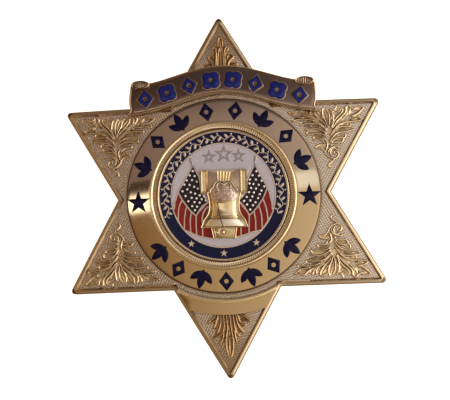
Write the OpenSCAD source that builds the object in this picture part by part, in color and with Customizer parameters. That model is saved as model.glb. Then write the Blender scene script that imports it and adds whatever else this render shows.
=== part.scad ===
// Six-point star badge: a domed, die-struck star with leaf sprays, a ribbon over its top
// and a round enamelled seal in its middle. Millimetres, lying on its back, +Z up, +Y to the
// top point. The origin is on the floor below the middle of the badge.

/* [Star] */
// Distance from the middle to a sharp tip
tip_reach = 38; // [36:0.5:40]
// Radius that rounds each tip
tip_round = 0.8; // [0.4:0.1:1.2]
// Radius of the dome that the face follows
dome_r = 300; // [260:10:400]
// Thickness of the metal under the textured ground
plate_t = 1.5; // [1.2:0.1:2]
// Width of the raised border
border_w = 1.1; // [0.8:0.1:1.4]
// Height of the border and the lower panel above the ground
border_h = 0.45; // [0.3:0.05:0.6]
// Height of the leaves above the ground
leaf_h = 0.4; // [0.2:0.05:0.45]

/* [Ring and lower panel] */
// Outer radius of the ring panel
ring_r = 20.1; // [19.6:0.1:20.3]
// Height of the ring panel above the ground
ring_h = 0.8; // [0.6:0.05:1]
// Width of the ring panel's outer bevel
ring_bevel = 0.4; // [0.2:0.1:0.6]
// Radius of the lower panel's upper edge
panel_top_r = 21.1; // [20.8:0.1:21.5]
// Radius of the lower panel's lower edge
panel_low_r = 26.1; // [25:0.1:28]
// Height on the badge of the centre of the lower panel's lower edge
panel_low_y = 1.7; // [0:0.1:3]
// Number of ornaments round the top of the ring
ring_top_count = 8; // [6:1:8]
// Number of ornaments round the bottom of the ring
ring_low_count = 7; // [5:1:7]
// Reach of the two enamel stars at the sides of the ring
side_star_r = 2.45; // [1.8:0.05:2.6]

/* [Seal] */
// Outer radius of the seal's rim
rim_r = 15.1; // [14.8:0.1:15.2]
// Height of the seal's rim above the ring panel
rim_h = 1.1; // [0.8:0.05:1.4]
// Radius of the seal's disc
disc_r = 13.4; // [13.2:0.1:13.4]
// Outer radius of the seal's blue enamel ring
blue_r = 13.1; // [12.9:0.05:13.1]
// Outer radius of the seal's white field
white_r = 10.7; // [10.6:0.1:11]
// Width of the raised walls between two enamel cells
wall_w = 0.22; // [0.18:0.02:0.3]
// Depth of the enamel
enamel_t = 0.3; // [0.2:0.05:0.4]
// Turn of the seal's picture, in degrees
seal_turn = -2.2; // [-4:0.2:4]

/* [Bell] */
// Share of its true roundness that the bell stands off the seal
bell_flat = 0.38; // [0.3:0.02:0.5]
// Width of the yoke that the bell hangs from
yoke_w = 9.5; // [9:0.1:9.8]
// Width of each post of the yoke
post_w = 1.4; // [1.2:0.1:1.6]
// Height of the yoke off the seal
yoke_h = 1.1; // [0.9:0.05:1.3]
// Turn of the bell, in degrees
bell_turn = -1; // [-4:0.2:4]
// Width of the panel behind the clapper
clapper_w = 4.4; // [4:0.1:4.8]

/* [Ribbon] */
// Half of the ribbon's length
ribbon_half = 19; // [18:0.25:20]
// Width of the ribbon across its middle
ribbon_w = 5.5; // [5:0.1:6]
// Height on the badge of the middle of the ribbon
ribbon_y = 24.15; // [24:0.05:24.5]
// Drop of the ribbon from its middle to its ends
ribbon_drop = 3.5; // [3:0.1:4]
// Further drop of the ribbon's lower edge at its middle
ribbon_foot = 0.3; // [0:0.05:0.6]
// Drop of the lower edge at the ribbon's ends, on top of that
ribbon_flare = 0.6; // [0:0.05:0.9]
// Thickness of the ribbon
ribbon_t = 1.1; // [0.8:0.1:1.4]
// Radius of the rolls at the ribbon's ends
roll_r = 0.85; // [0.6:0.05:0.9]
// Length of the rolls at the ribbon's ends
roll_l = 4; // [3:0.1:4.4]
// Turn of the ribbon round the middle of the badge, in degrees
ribbon_turn = -1.2; // [-3:0.1:3]
// Number of ornaments along the ribbon
ribbon_count = 8; // [4:2:8]

/* [Pin] */
// Height of the back of the plate above the floor, at the middle
back_z = 4.1; // [3.6:0.1:5]
// Distance from the middle to each block of the pin
pin_reach = 14; // [12:0.5:16]
// Length of each block along the pin
block_l = 5; // [4:0.5:6]
// Width of each block across the pin
block_w = 7; // [5:0.5:9]
// Diameter of the pin stem
stem_d = 1; // [0.8:0.1:1.4]

/* [Hidden] */
$fn = 96;

gap = 0.06;
inlay_gap = 0.05;
ground_z = back_z + plate_t;
dome_z = ground_z - dome_r;
base_z = 0.5;
tower_h = 20;

ring_top_z = ground_z + ring_h;
seat_z = ground_z - 0.05;
seat_r = disc_r + 0.1;
face_z = ring_top_z + 0.05;
floor_z = face_z - enamel_t - 0.05;

ring_mid_r = (ring_r + rim_r) / 2;
top_step = 19.5;
low_step = 16.8;
side_star_angle = 2.5;
ribbon_edge_w = 0.3;
ribbon_edge_h = 0.2;

bar_w = 5;
bar_low_z = back_z - 1;
stem_z = 1.1;

// Columns of a frond table: root x, root y, bend x, bend y, end x, end y, width
side_fronds = [
    [21.4, -10.2, 20.2, -10.2, 19.2, -9.0, 0.9],
    [21.4, -10.8, 20.2, -10.2, 18.5, -10.8, 0.9],
    [21.4, -11.6, 19.6, -11.0, 17.3, -12.0, 1.0],
    [21.4, -12.4, 19.2, -12.3, 16.8, -13.1, 1.0],
    [21.3, -13.0, 19.0, -13.6, 16.1, -14.3, 1.0],
    [21.3, -13.5, 18.4, -14.6, 14.6, -15.4, 1.1],
    [21.3, -14.0, 18.6, -16.4, 13.8, -16.8, 1.1],
    [21.4, -14.0, 19.9, -15.9, 18.7, -17.2, 1.3],
    [21.7, -13.4, 21.4, -15.8, 20.9, -17.4, 1.3],
    [22.0, -13.0, 22.7, -15.8, 23.3, -17.6, 1.3],
    [22.3, -12.8, 24.2, -15.4, 25.6, -17.4, 1.3],
    [22.6, -12.8, 25.4, -15.8, 29.0, -17.1, 1.4],
    [22.6, -12.2, 24.4, -14.6, 28.6, -14.7, 1.2],
    [22.4, -11.4, 23.8, -12.9, 26.8, -12.6, 1.1],
    [22.1, -10.6, 23.4, -11.6, 25.4, -11.1, 1.0],
    [21.9, -10.0, 23.0, -10.6, 24.6, -10.2, 0.8],
    [21.5, -10.4, 21.7, -12.0, 22.0, -14.6, 1.4]];
low_fronds = [
    [0, -24.4, 0, -29.5, 0, -34.0, 1.5],
    [0.7, -24.4, 0.8, -28.0, 1.8, -30.2, 1.1],
    [1.0, -24.4, 1.3, -27.3, 2.8, -29.0, 1.0],
    [1.3, -24.4, 1.9, -26.6, 3.6, -27.6, 1.0],
    [1.6, -24.3, 2.6, -25.6, 4.4, -26.0, 1.0]];
top_fronds = [
    [0, 26.0, 0, 30.0, 0, 33.3, 1.1],
    [0.4, 27.0, 0.9, 29.4, 1.7, 31.2, 0.8],
    [0.8, 26.4, 1.7, 28.0, 2.8, 29.4, 1.0],
    [1.2, 26.0, 2.6, 26.8, 3.9, 27.9, 0.9]];
// Columns of a curl table: centre x, centre y, start radius, end radius, start and end angle, width
side_curls = [
    [22.6, -8.0, 1.5, 0.5, 195, -150, 0.45],
    [23.3, -7.9, 1.7, 1.4, 180, 310, 0.4],
    [22.3, -5.3, 1.0, 0.7, 270, 80, 0.4]];
frond_steps = 4;
curl_steps = 9;

// Place of the bell's axis, and heights of the yoke's top, notch and foot and the panel's foot
bell_x = 0.1;
yoke_top_y = 5.2;
yoke_notch_y = 4.7;
yoke_low_y = 0.3;
clapper_low_y = -8.8;
crown_places = [-0.85, 0.95];
// Half of the bell's outline: distance from its axis, height on the badge
bell_profile = [[0, 2.5], [1.5, 2.35], [2.35, 1.8], [2.95, 1.1], [3.25, 0.3], [3.0, -1.0],
                [2.9, -2.6], [3.2, -4.1], [3.4, -4.2], [3.4, -4.6], [3.8, -5.0],
                [4.6, -6.0], [4.8, -6.4], [4.7, -6.6], [0, -6.6]];
// The left flag, then the right one: star field, striped part and the lines between stripes
cantons = [
    [[-6.3, 6.1], [-9.3, 0.6], [-8.4, -1.0], [-7.4, -2.35], [-6.5, -3.45], [-5.55, -4.25],
     [-5.0, -3.3], [-4.25, -2.25], [-3.1, -1.5], [-4.6, 0.9], [-4.8, 2.9], [-5.05, 3.9]],
    [[6.45, 6.3], [9.0, 1.55], [8.65, 0.45], [8.1, -0.8], [7.25, -2.1], [6.3, -3.35],
     [5.35, -4.15], [4.95, -3.4], [4.3, -2.35], [3.2, -1.15], [4.8, 0.7], [4.9, 3.0],
     [5.8, 5.0]]];
flies = [
    [[-9.3, 0.6], [-9.6, -0.35], [-9.9, -1.4], [-10.0, -2.6], [-10.4, -3.4], [-8.1, -7.1],
     [-7.25, -7.45], [-5.8, -8.1], [-4.8, -8.45], [-3.8, -8.7], [-2.1, -9.0], [-2.1, -6.5],
     [-4.5, -6.5], [-3.0, -3.0], [-2.8, -1.2], [-5.55, -4.25]],
    [[9.0, 1.55], [9.4, 0.65], [9.7, -0.55], [9.95, -1.6], [10.05, -2.8], [10.4, -3.4],
     [8.05, -7.0], [7.35, -7.3], [6.2, -7.55], [5.4, -7.8], [4.2, -8.25], [2.1, -8.8],
     [2.1, -6.5], [4.5, -6.5], [3.0, -3.0], [2.8, -1.0], [5.35, -4.15]]];
fly_lines = [
    [[-8.4, -1.0], [-8.8, -1.65], [-9.1, -2.55], [-9.2, -3.55], [-9.2, -5.2]],
    [[-7.45, -2.3], [-7.7, -3.0], [-7.95, -4.8], [-7.95, -6.9]],
    [[-6.5, -3.45], [-6.7, -4.45], [-6.75, -5.5], [-6.65, -7.6]],
    [[-5.55, -4.25], [-5.55, -6.0], [-5.4, -8.2]],
    [[-3.1, -2.4], [-3.6, -2.85], [-4.1, -3.75], [-4.3, -4.8], [-4.2, -7.2], [-4.15, -8.5]],
    [[8.1, -0.8], [8.5, -1.7], [8.8, -2.7], [9.05, -3.85], [9.2, -5.3]],
    [[7.25, -2.1], [7.6, -3.1], [7.85, -4.2], [7.95, -5.3], [8.0, -6.9]],
    [[6.3, -3.35], [6.45, -4.05], [6.65, -5.05], [6.7, -7.4]],
    [[5.35, -4.15], [5.3, -7.8]],
    [[3.65, -6.6], [3.7, -8.35]]];
// Columns of the outlined stars: x, y, reach of the middle of the outline
sky_stars = [[0.05, 8.45, 1.5], [-3.0, 7.85, 1.1], [3.1, 8.05, 1.1]];
// Angles of the three small stars on the blue ring
blue_star_angles = [237, 271, 305];

// Points of a six-pointed star with rounded tips
function star_points(reach, round, steps = 6) = [
    for (k = [0:5]) let (a = 90 + 60 * k) each concat(
        [for (s = [0:steps]) let (b = a - 60 + 120 * s / steps)
            (reach - 2 * round) * [cos(a), sin(a)] + round * [cos(b), sin(b)]],
        [reach / sqrt(3) * [cos(a + 30), sin(a + 30)]])];

// Point of a quadratic curve at share t of its length
function bend_at(p, q, r, t) = (1 - t) * (1 - t) * p + 2 * t * (1 - t) * q + t * t * r;

// Unit vector square to the line from p to q, on its left
function left_of(p, q) = let (d = q - p) [-d[1], d[0]] / norm(d);

// Outline of a strip of width w along a path
function strip(path, w) = let (
    n = len(path),
    side = [for (i = [0:n - 1]) left_of(path[max(i - 1, 0)], path[min(i + 1, n - 1)])])
    concat([for (i = [0:n - 1]) path[i] + side[i] * w / 2],
           [for (i = [n - 1:-1:0]) path[i] - side[i] * w / 2]);

// Outline of one frond, narrow at its root and pointed at its end
function frond_points(f) = let (
    root = [f[0], f[1]], bend = [f[2], f[3]], end = [f[4], f[5]], n = frond_steps,
    path = [for (i = [0:n]) bend_at(root, bend, end, i / n)],
    side = [for (i = [0:n]) left_of(path[max(i - 1, 0)], path[min(i + 1, n)])],
    half = [for (i = [0:n - 1]) f[6] / 2 * (0.4 + 0.6 * sin(150 * i / n))])
    concat([for (i = [0:n - 1]) path[i] + side[i] * half[i]], [end],
           [for (i = [n - 1:-1:0]) path[i] - side[i] * half[i]]);

// Path of a curl that winds from one radius to another
function curl_path(c) = [
    for (i = [0:curl_steps]) let (
        t = i / curl_steps,
        a = c[4] + (c[5] - c[4]) * t,
        r = c[2] + (c[3] - c[2]) * t)
        [c[0] + r * cos(a), c[1] + r * sin(a)]];

// Height of the middle line of the ribbon at x
function ribbon_line(x) = ribbon_y - ribbon_drop * (1 - cos(180 * min(abs(x), 18) / 18)) / 2;

// Drop of the ribbon's lower edge at x
function ribbon_low(x) = ribbon_foot + ribbon_flare * pow(abs(x) / ribbon_half, 4);

// Slope of the ribbon's middle line at x, in degrees
function ribbon_slope(x) = atan2(ribbon_line(x + 0.5) - ribbon_line(x - 0.5), 1);

// Everything below the dome that lies h above the textured ground
module dome(h) {
    translate([0, 0, dome_z]) sphere(r = dome_r + h, $fn = 256);
}

// A thin line of width w along a path of straight stretches
module line_along(path, w) {
    for (i = [1:len(path) - 1]) {
        run = path[i] - path[i - 1];
        translate(path[i - 1]) rotate(atan2(run[1], run[0]))
            translate([-w * 0.4, -w / 2]) square([norm(run) + w * 0.8, w]);
    }
}

// A flat outline as a tall prism
module tower() {
    translate([0, 0, base_z]) linear_extrude(height = tower_h) children();
}

// A flat outline carried up to the dome h above the ground
module raised(h) {
    intersection() {
        tower() children();
        dome(h);
    }
}

// A pointed leaf of length l and width w, round its own middle, along Y
module lens(l, w) {
    r = (l * l + w * w) / (4 * w);
    intersection() {
        translate([r - w / 2, 0]) circle(r = r);
        translate([w / 2 - r, 0]) circle(r = r);
    }
}

// A five-pointed star with its top point along Y
module star5(reach) {
    polygon([for (k = [0:9]) let (r = k % 2 == 0 ? reach : reach * 0.4)
        [r * cos(90 + 36 * k), r * sin(90 + 36 * k)]]);
}

// A lozenge with half sizes w and l, grown by g on each side, round a bare middle
module lozenge(w, l, g, hole) {
    difference() {
        polygon([[w + 1.6 * g, 0], [0, l + 1.6 * g], [-w - 1.6 * g, 0], [0, -l - 1.6 * g]]);
        circle(r = hole - g, $fn = 24);
    }
}

// A sprig of three leaves, grown by g on each side
module sprig(g) {
    translate([0, 0.1]) lens(4.1 + 2 * g, 1.6 + 2 * g);
    for (turn = [-1, 1])
        translate([turn * 1.15, -0.5]) rotate(-48 * turn) lens(3.1 + 2 * g, 1.35 + 2 * g);
}

// A flower of four round petals with a bare middle, grown by g on each side
module quatrefoil(g) {
    difference() {
        for (k = [0:3]) rotate(90 * k + 45) translate([1.0, 0]) circle(r = 1.0 + g, $fn = 48);
        circle(r = 0.5 - g, $fn = 24);
    }
}

// A row of sprigs and lozenges that stand step degrees apart
module motif_row(count, step, g) {
    for (k = [0:count - 1])
        let (place = k - (count - 1) / 2)
            rotate(step * place) translate([0, ring_mid_r])
                if (floor(abs(place)) % 2 == 1) sprig(g); else lozenge(1.5, 1.95, g, 0.5);
}

// The enamel shapes of the ring panel, grown by g on each side
module ring_motifs(g = 0) {
    motif_row(ring_top_count, top_step, g);
    rotate(180) motif_row(ring_low_count, low_step, g);
    for (side = [-1, 1])
        rotate(side * (90 + side_star_angle)) translate([0, ring_mid_r])
            rotate(-side * (90 + side_star_angle)) star5(side_star_r + 2 * g);
}

// The part of the face that lies at the level of the textured ground
module field_outline() {
    difference() {
        polygon(star_points(tip_reach - 2 * border_w, 0.1, 2));
        circle(r = ring_r - ring_bevel);
        difference() {
            translate([0, panel_low_y]) circle(r = panel_low_r);
            circle(r = panel_top_r);
            translate([-tip_reach, border_w - tip_reach / 2]) square(2 * tip_reach);
        }
    }
}

// The leaf sprays of all six points
module sprays() {
    for (across = [0, 1], down = [0, 1])
        mirror([across, 0]) mirror([0, down]) {
            for (f = side_fronds) polygon(frond_points(f));
            for (c = side_curls) polygon(strip(curl_path(c), c[6]));
        }
    for (across = [0, 1])
        mirror([across, 0]) {
            for (f = low_fronds) polygon(frond_points(f));
            for (f = top_fronds) polygon(frond_points(f));
        }
}

// The ring panel's solid down to the base, with its top h above its own level
module ring_solid(h = 0) {
    mid_drop = rim_r * rim_r / (2 * dome_r);
    bevel_r = ring_r - ring_bevel;
    bevel_drop = bevel_r * bevel_r / (2 * dome_r);
    rotate_extrude()
        polygon([[0, base_z], [ring_r, base_z], [ring_r, ring_top_z - bevel_drop - ring_bevel + h],
                 [bevel_r, ring_top_z - bevel_drop + h], [rim_r, ring_top_z - mid_drop + h],
                 [0, ring_top_z - mid_drop + h]]);
}

module star_body() {
    color("goldenrod") difference() {
        union() {
            difference() {
                raised(border_h) polygon(star_points(tip_reach, tip_round));
                difference() {
                    tower() field_outline();
                    dome(0);
                }
            }
            ring_solid();
            raised(leaf_h) sprays();
        }
        dome(-plate_t);
        translate([0, 0, seat_z]) cylinder(r = seat_r, h = tower_h);
        difference() {
            tower() ring_motifs(inlay_gap);
            ring_solid(-enamel_t);
        }
    }
}

// The outline of the ribbon, narrowed by g on each side
module ribbon_outline(g = 0) {
    half_w = ribbon_w / 2 - g;
    xs = [for (i = [-8:8]) (ribbon_half - g) * i / 8];
    polygon(concat([for (x = xs) [x, ribbon_line(x) + half_w / cos(ribbon_slope(x))]],
                   [for (i = [16:-1:0]) let (x = xs[i])
                       [x, ribbon_line(x) - half_w / cos(ribbon_slope(x)) - ribbon_low(x)]]));
}

// The enamel shapes of the ribbon, grown by g on each side
module ribbon_motifs(g = 0) {
    step = 2 * ribbon_half * 0.84 / (ribbon_count - 1);
    for (k = [0:ribbon_count - 1]) {
        x = step * (k - (ribbon_count - 1) / 2);
        side = k < ribbon_count / 2 ? k : ribbon_count - 1 - k;
        translate([x, ribbon_line(x) - 0.8 * ribbon_low(x)]) rotate(ribbon_slope(x))
            if (side % 2 == 0) lozenge(1.5, 1.85, g, 0.55); else quatrefoil(g);
    }
}

module rank_banner() {
    low = border_h + gap;
    high = low + ribbon_t;
    color("gold") rotate(ribbon_turn) {
        difference() {
            union() {
                difference() {
                    raised(high) ribbon_outline();
                    dome(low);
                }
                difference() {
                    raised(high + ribbon_edge_h) union() {
                        difference() {
                            ribbon_outline();
                            ribbon_outline(ribbon_edge_w);
                        }
                        difference() {
                            ribbon_motifs(ribbon_edge_w);
                            ribbon_motifs(inlay_gap);
                        }
                    }
                    dome(low);
                }
            }
            difference() {
                tower() ribbon_motifs(inlay_gap);
                dome(high - enamel_t);
            }
        }
        for (side = [-1, 1])
            translate([side * (ribbon_half - roll_l / 2), ribbon_line(18) + ribbon_w / 2 - 0.1,
                       ground_z + high - 0.9])
                rotate([0, 90, 0]) cylinder(r = roll_r, h = roll_l, center = true, $fn = 48);
    }
}

module seal_rim() {
    top = ring_top_z + rim_h - rim_r * rim_r / (2 * dome_r);
    sit = ring_top_z - rim_r * rim_r / (2 * dome_r) + gap;
    color("gold") rotate_extrude()
        polygon([[seat_r, sit], [rim_r, sit], [rim_r, top - 0.3], [rim_r - 0.15, top - 0.06],
                 [rim_r - 0.45, top], [rim_r - 0.65, top - 0.16], [disc_r + 0.2, top - 0.2],
                 [disc_r - 0.15, face_z + 0.2], [disc_r - 0.15, face_z + gap],
                 [seat_r, face_z + gap]]);
}

// The footprint of the bell with its yoke and clapper panel, grown by g on each side
module bell_outline(g = gap) {
    n = len(bell_profile) - 1;
    right = [for (i = [0:n]) bell_profile[i] + [g, i < n - 2 ? g : -g]];
    rotate(-seal_turn) translate([bell_x, 0]) rotate(bell_turn) {
        polygon(concat(right, [for (i = [n:-1:0]) [-right[i][0], right[i][1]]]));
        translate([-yoke_w / 2 - g, yoke_low_y - g])
            square([yoke_w + 2 * g, yoke_top_y - yoke_low_y + 2 * g]);
        translate([-clapper_w / 2 - g, clapper_low_y - g]) square([clapper_w + 2 * g, 3]);
    }
}

// The raised walls between the seal's enamel cells, as thin strips of width w
module walls(w) {
    difference() {
        circle(r = white_r + w / 2);
        circle(r = white_r - w / 2);
    }
    intersection() {
        circle(r = white_r);
        union() {
            for (edge = cantons) line_along(concat(edge, [edge[0]]), w);
            for (edge = flies) line_along([for (i = [0:len(edge) - 6]) edge[i]], w);
            for (line = fly_lines) line_along(line, w);
        }
    }
    for (s = sky_stars)
        translate([s[0], s[1]]) difference() {
            star5(s[2] + 1.5 * w);
            star5(s[2] - 1.5 * w);
        }
}

// The two flags' star fields
module star_fields() {
    for (edge = cantons) polygon(edge);
}

// The two flags' striped parts
module stripes() {
    intersection() {
        circle(r = white_r);
        for (edge = flies) polygon(edge);
    }
}

// The small stars on the seal's blue ring
module blue_stars(g = 0) {
    for (a = blue_star_angles)
        rotate(a - 90) translate([0, (blue_r + white_r) / 2]) rotate(90 - a) star5(0.75 + g);
}

// One enamel fill of the seal
module seal_fill() {
    translate([0, 0, floor_z + inlay_gap]) linear_extrude(height = enamel_t - inlay_gap)
        difference() {
            children();
            walls(wall_w + 2 * inlay_gap);
            bell_outline();
        }
}

module seal_disc() {
    color("gold") rotate(seal_turn) {
        translate([0, 0, seat_z + gap]) cylinder(r = disc_r, h = floor_z - seat_z - gap);
        translate([0, 0, floor_z - 0.1]) linear_extrude(height = enamel_t + 0.15) {
            difference() {
                circle(r = disc_r);
                circle(r = blue_r);
            }
            difference() {
                walls(wall_w);
                bell_outline();
            }
            blue_stars();
        }
    }
}

// A block of the bell's relief between two corners, h high
module relief_block(x0, y0, x1, y1, h) {
    translate([x0, y0, 0]) cube([x1 - x0, y1 - y0, h]);
}

// The yoke's beam, posts and middle block, and the loops of the bell's crown
module yoke() {
    linear_extrude(height = yoke_h - 0.2)
        polygon([[-yoke_w / 2 + 0.5, 2.4], [yoke_w / 2 - 0.5, 2.4],
                 [yoke_w / 2 - 0.5, yoke_top_y - 0.1], [1.9, yoke_notch_y],
                 [-1.5, yoke_notch_y], [-yoke_w / 2 + 0.5, yoke_top_y - 0.1]]);
    difference() {
        for (side = [-1, 1])
            translate([side * (yoke_w - post_w) / 2, 0, 0])
                relief_block(-post_w / 2, yoke_low_y, post_w / 2, yoke_top_y, yoke_h);
        for (side = [-1, 1])
            translate([side * (yoke_w - post_w) / 2, 0, yoke_h - 0.2])
                relief_block(-0.12, yoke_low_y + 0.3, 0.12, yoke_top_y - 0.3, 1);
    }
    linear_extrude(height = yoke_h + 0.15)
        polygon([[-1.25, 2.6], [1.45, 2.6], [1.7, 4.75], [-1.4, 4.75]]);
    for (x = crown_places)
        translate([x, 2.0, 0]) linear_extrude(height = yoke_h + 0.35) difference() {
            circle(r = 0.95, $fn = 32);
            circle(r = 0.6, $fn = 32);
        }
}

module bell() {
    color("khaki") translate([bell_x, 0, floor_z + inlay_gap]) rotate(bell_turn) difference() {
        union() {
            intersection() {
                scale([1, 1, bell_flat]) rotate([-90, 0, 0])
                    rotate_extrude($fn = 40) polygon(bell_profile);
                relief_block(-10, -10, 10, 10, 10);
            }
            yoke();
            relief_block(-clapper_w / 2, clapper_low_y, clapper_w / 2, -6.2, 0.5);
            translate([-0.2, -7.6, 0.45]) sphere(r = 0.42, $fn = 24);
        }
        translate([0, 0, 0.8]) linear_extrude(height = 5)
            line_along([[-1.35, -1.7], [-1.0, -3.2], [-1.15, -4.4], [-0.55, -6.9]], 0.2);
    }
}

module ring_enamel() {
    color("midnightblue") difference() {
        intersection() {
            tower() ring_motifs();
            ring_solid(-0.03);
        }
        ring_solid(inlay_gap - enamel_t);
    }
}

module banner_enamel() {
    high = border_h + gap + ribbon_t;
    color("navy") rotate(ribbon_turn) difference() {
        raised(high + 0.1) ribbon_motifs();
        dome(high - enamel_t + inlay_gap);
    }
}

module seal_blue_enamel() {
    color("midnightblue") rotate(seal_turn) {
        seal_fill() difference() {
            circle(r = blue_r - inlay_gap);
            circle(r = white_r);
            blue_stars(0.12);
        }
        seal_fill() star_fields();
    }
}

module seal_white_enamel() {
    color("lavender") rotate(seal_turn) seal_fill() difference() {
        circle(r = white_r);
        star_fields();
        stripes();
    }
}

module seal_red_enamel() {
    color("darkred") rotate(seal_turn) seal_fill() difference() {
        stripes();
        star_fields();
    }
}

module pin_back() {
    color("silver") {
        intersection() {
            union() {
                translate([-pin_reach, -bar_w / 2, bar_low_z])
                    cube([2 * pin_reach, bar_w, 2]);
                for (side = [-1, 1])
                    translate([side * pin_reach - block_l / 2, -block_w / 2, 0])
                        cube([block_l, block_w, back_z + 1]);
            }
            dome(-plate_t - gap);
        }
        translate([-pin_reach, 0, stem_z]) rotate([0, 90, 0])
            cylinder(d = stem_d, h = 2 * pin_reach, $fn = 32);
    }
}

star_body();
rank_banner();
seal_rim();
seal_disc();
bell();
ring_enamel();
banner_enamel();
seal_blue_enamel();
seal_white_enamel();
seal_red_enamel();
pin_back();
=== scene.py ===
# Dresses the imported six-point star badge: polished border, leaf sprays on a linen ground,
# ribbon, enamels, reeded seal and bell. Pieces are shaped in millimetres, then made metres.
import math

import bpy
from mathutils import Matrix, Vector


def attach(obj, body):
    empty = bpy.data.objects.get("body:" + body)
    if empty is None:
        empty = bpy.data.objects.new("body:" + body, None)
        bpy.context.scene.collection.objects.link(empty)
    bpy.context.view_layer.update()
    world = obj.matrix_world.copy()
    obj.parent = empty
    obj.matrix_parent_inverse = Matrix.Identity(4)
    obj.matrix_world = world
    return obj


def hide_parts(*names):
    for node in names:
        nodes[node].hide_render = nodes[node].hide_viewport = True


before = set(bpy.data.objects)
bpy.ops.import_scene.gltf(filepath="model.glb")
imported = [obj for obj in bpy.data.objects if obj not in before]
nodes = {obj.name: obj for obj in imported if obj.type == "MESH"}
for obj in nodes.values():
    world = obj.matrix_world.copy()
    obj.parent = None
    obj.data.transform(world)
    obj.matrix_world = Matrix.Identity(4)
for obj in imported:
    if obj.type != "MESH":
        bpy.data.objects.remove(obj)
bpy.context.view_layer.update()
millimetre = 0.001

# The dome that the whole face follows
dome = {"radius": 300.0, "ground": 5.6}

# Where the photograph was taken from
viewpoint = {"place": (28.93, -33.75, 330.28), "turn": (5.569, 5.242, -1.969),
             "lens": 128.0, "sensor": 36.0, "nearest": 0.01}


# Selecting and editing

def makeActive(piece):
    bpy.ops.object.select_all(action="DESELECT")
    piece.select_set(True)
    bpy.context.view_layer.objects.active = piece


def startEdit(piece, kind="VERT", choice="SELECT"):
    # Edit mode, with all of the piece selected or none of it
    makeActive(piece)
    bpy.ops.object.mode_set(mode="EDIT")
    bpy.ops.mesh.select_mode(type=kind)
    bpy.ops.mesh.select_all(action=choice)


def endEdit():
    bpy.ops.object.mode_set(mode="OBJECT")


def pick(piece, kind, test):
    # Edit mode, with only the corners or faces selected that pass the test
    startEdit(piece, kind, "DESELECT")
    endEdit()
    for item in piece.data.vertices if kind == "VERT" else piece.data.polygons:
        item.select = test(item)
    bpy.ops.object.mode_set(mode="EDIT")


def applyModifier(piece, kind, **settings):
    makeActive(piece)
    modifier = piece.modifiers.new(kind.lower(), kind)
    for key, value in settings.items():
        setattr(modifier, key, value)
    bpy.ops.object.modifier_apply(modifier=modifier.name)


def boolean(piece, other, operation="DIFFERENCE"):
    applyModifier(piece, "BOOLEAN", operation=operation, object=other, solver="EXACT")
    bpy.data.objects.remove(other)
    return piece


def soften(piece, width):
    # Rounds the sharp edges
    applyModifier(piece, "BEVEL", width=width, segments=2, limit_method="ANGLE",
                  angle_limit=math.radians(50))
    return piece


def copyOf(piece):
    twin = piece.copy()
    twin.data = piece.data.copy()
    bpy.context.collection.objects.link(twin)
    return twin


def joinAll(parts):
    makeActive(parts[0])
    for part in parts:
        part.select_set(True)
    bpy.ops.object.join()
    return parts[0]


def freeze(piece=None):
    # Applies the place, turn and size of a piece, or of the one just added
    piece = piece or bpy.context.object
    makeActive(piece)
    bpy.ops.object.transform_apply(location=True, rotation=True, scale=True)
    return piece


def turned(piece, degrees, shift=(0, 0, 0)):
    # Moves a piece by shift, then turns it round the middle of the badge
    piece.data.transform(Matrix.Rotation(math.radians(degrees), 4, "Z")
                         @ Matrix.Translation(shift))
    return piece


def placed(x, y, degrees=0.0, z=0.0):
    # The move that turns a thing where it is, then carries it to its place
    return Matrix.Translation((x, y, z)) @ Matrix.Rotation(math.radians(degrees), 4, "Z")


def cleanNormals(piece, weld=0.0005):
    startEdit(piece)
    bpy.ops.mesh.remove_doubles(threshold=weld)
    bpy.ops.mesh.normals_make_consistent(inside=False)
    endEdit()
    return piece


# Shared ways of making a shape

def onCircle(radius, degrees):
    return radius * math.cos(math.radians(degrees)), radius * math.sin(math.radians(degrees))


def fromAxis(thing):
    # How far a corner's or a face's place is from the badge's axis
    return math.hypot(thing.x, thing.y)


def ball(radius, place, segments=16, rings=10):
    bpy.ops.mesh.primitive_uv_sphere_add(segments=segments, ring_count=rings, radius=radius,
                                         location=place)
    return freeze()


def drum(radius, low, high, place=(0, 0), vertices=192):
    # An upright cylinder
    bpy.ops.mesh.primitive_cylinder_add(vertices=vertices, radius=radius, depth=high - low,
                                        location=(*place, (low + high) / 2))
    return freeze()


def prism(points, low, high):
    # An upright block over an outline of (x, y) corners
    bpy.ops.mesh.primitive_circle_add(vertices=len(points), fill_type="NGON")
    block = freeze()
    for vert, (x, y) in zip(block.data.vertices, points):
        vert.co = (x, y, low)
    startEdit(block, "FACE")
    bpy.ops.mesh.extrude_region_move(TRANSFORM_OT_translate={"value": (0, 0, high - low)})
    endEdit()
    return cleanNormals(block)


def lathe(profile, steps):
    # Spins a closed profile of (distance from the axis, height) once round
    bpy.ops.mesh.primitive_circle_add(vertices=len(profile), fill_type="NOTHING")
    piece = bpy.context.object
    for vert, (r, z) in zip(piece.data.vertices, profile):
        vert.co = (r, 0, z)
    startEdit(piece)
    bpy.ops.mesh.spin(steps=steps, angle=math.radians(360), center=(0, 0, 0), axis=(0, 0, 1))
    endEdit()
    return cleanNormals(piece)


def pathThrough(points):
    # A smooth line through points, as a function of the share of its length
    last = len(points) - 1

    def line(t):
        k = min(int(t * last), last - 1)
        u = t * last - k
        p, q, r, s = [points[min(max(k + j, 0), last)] for j in (-1, 0, 1, 2)]
        return tuple(b + 0.5 * u * (c - a + u * (2 * a - 5 * b + 4 * c - d
                                                 + u * (3 * b - 3 * c + d - a)))
                     for a, b, c, d in zip(p, q, r, s))
    return line


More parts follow.
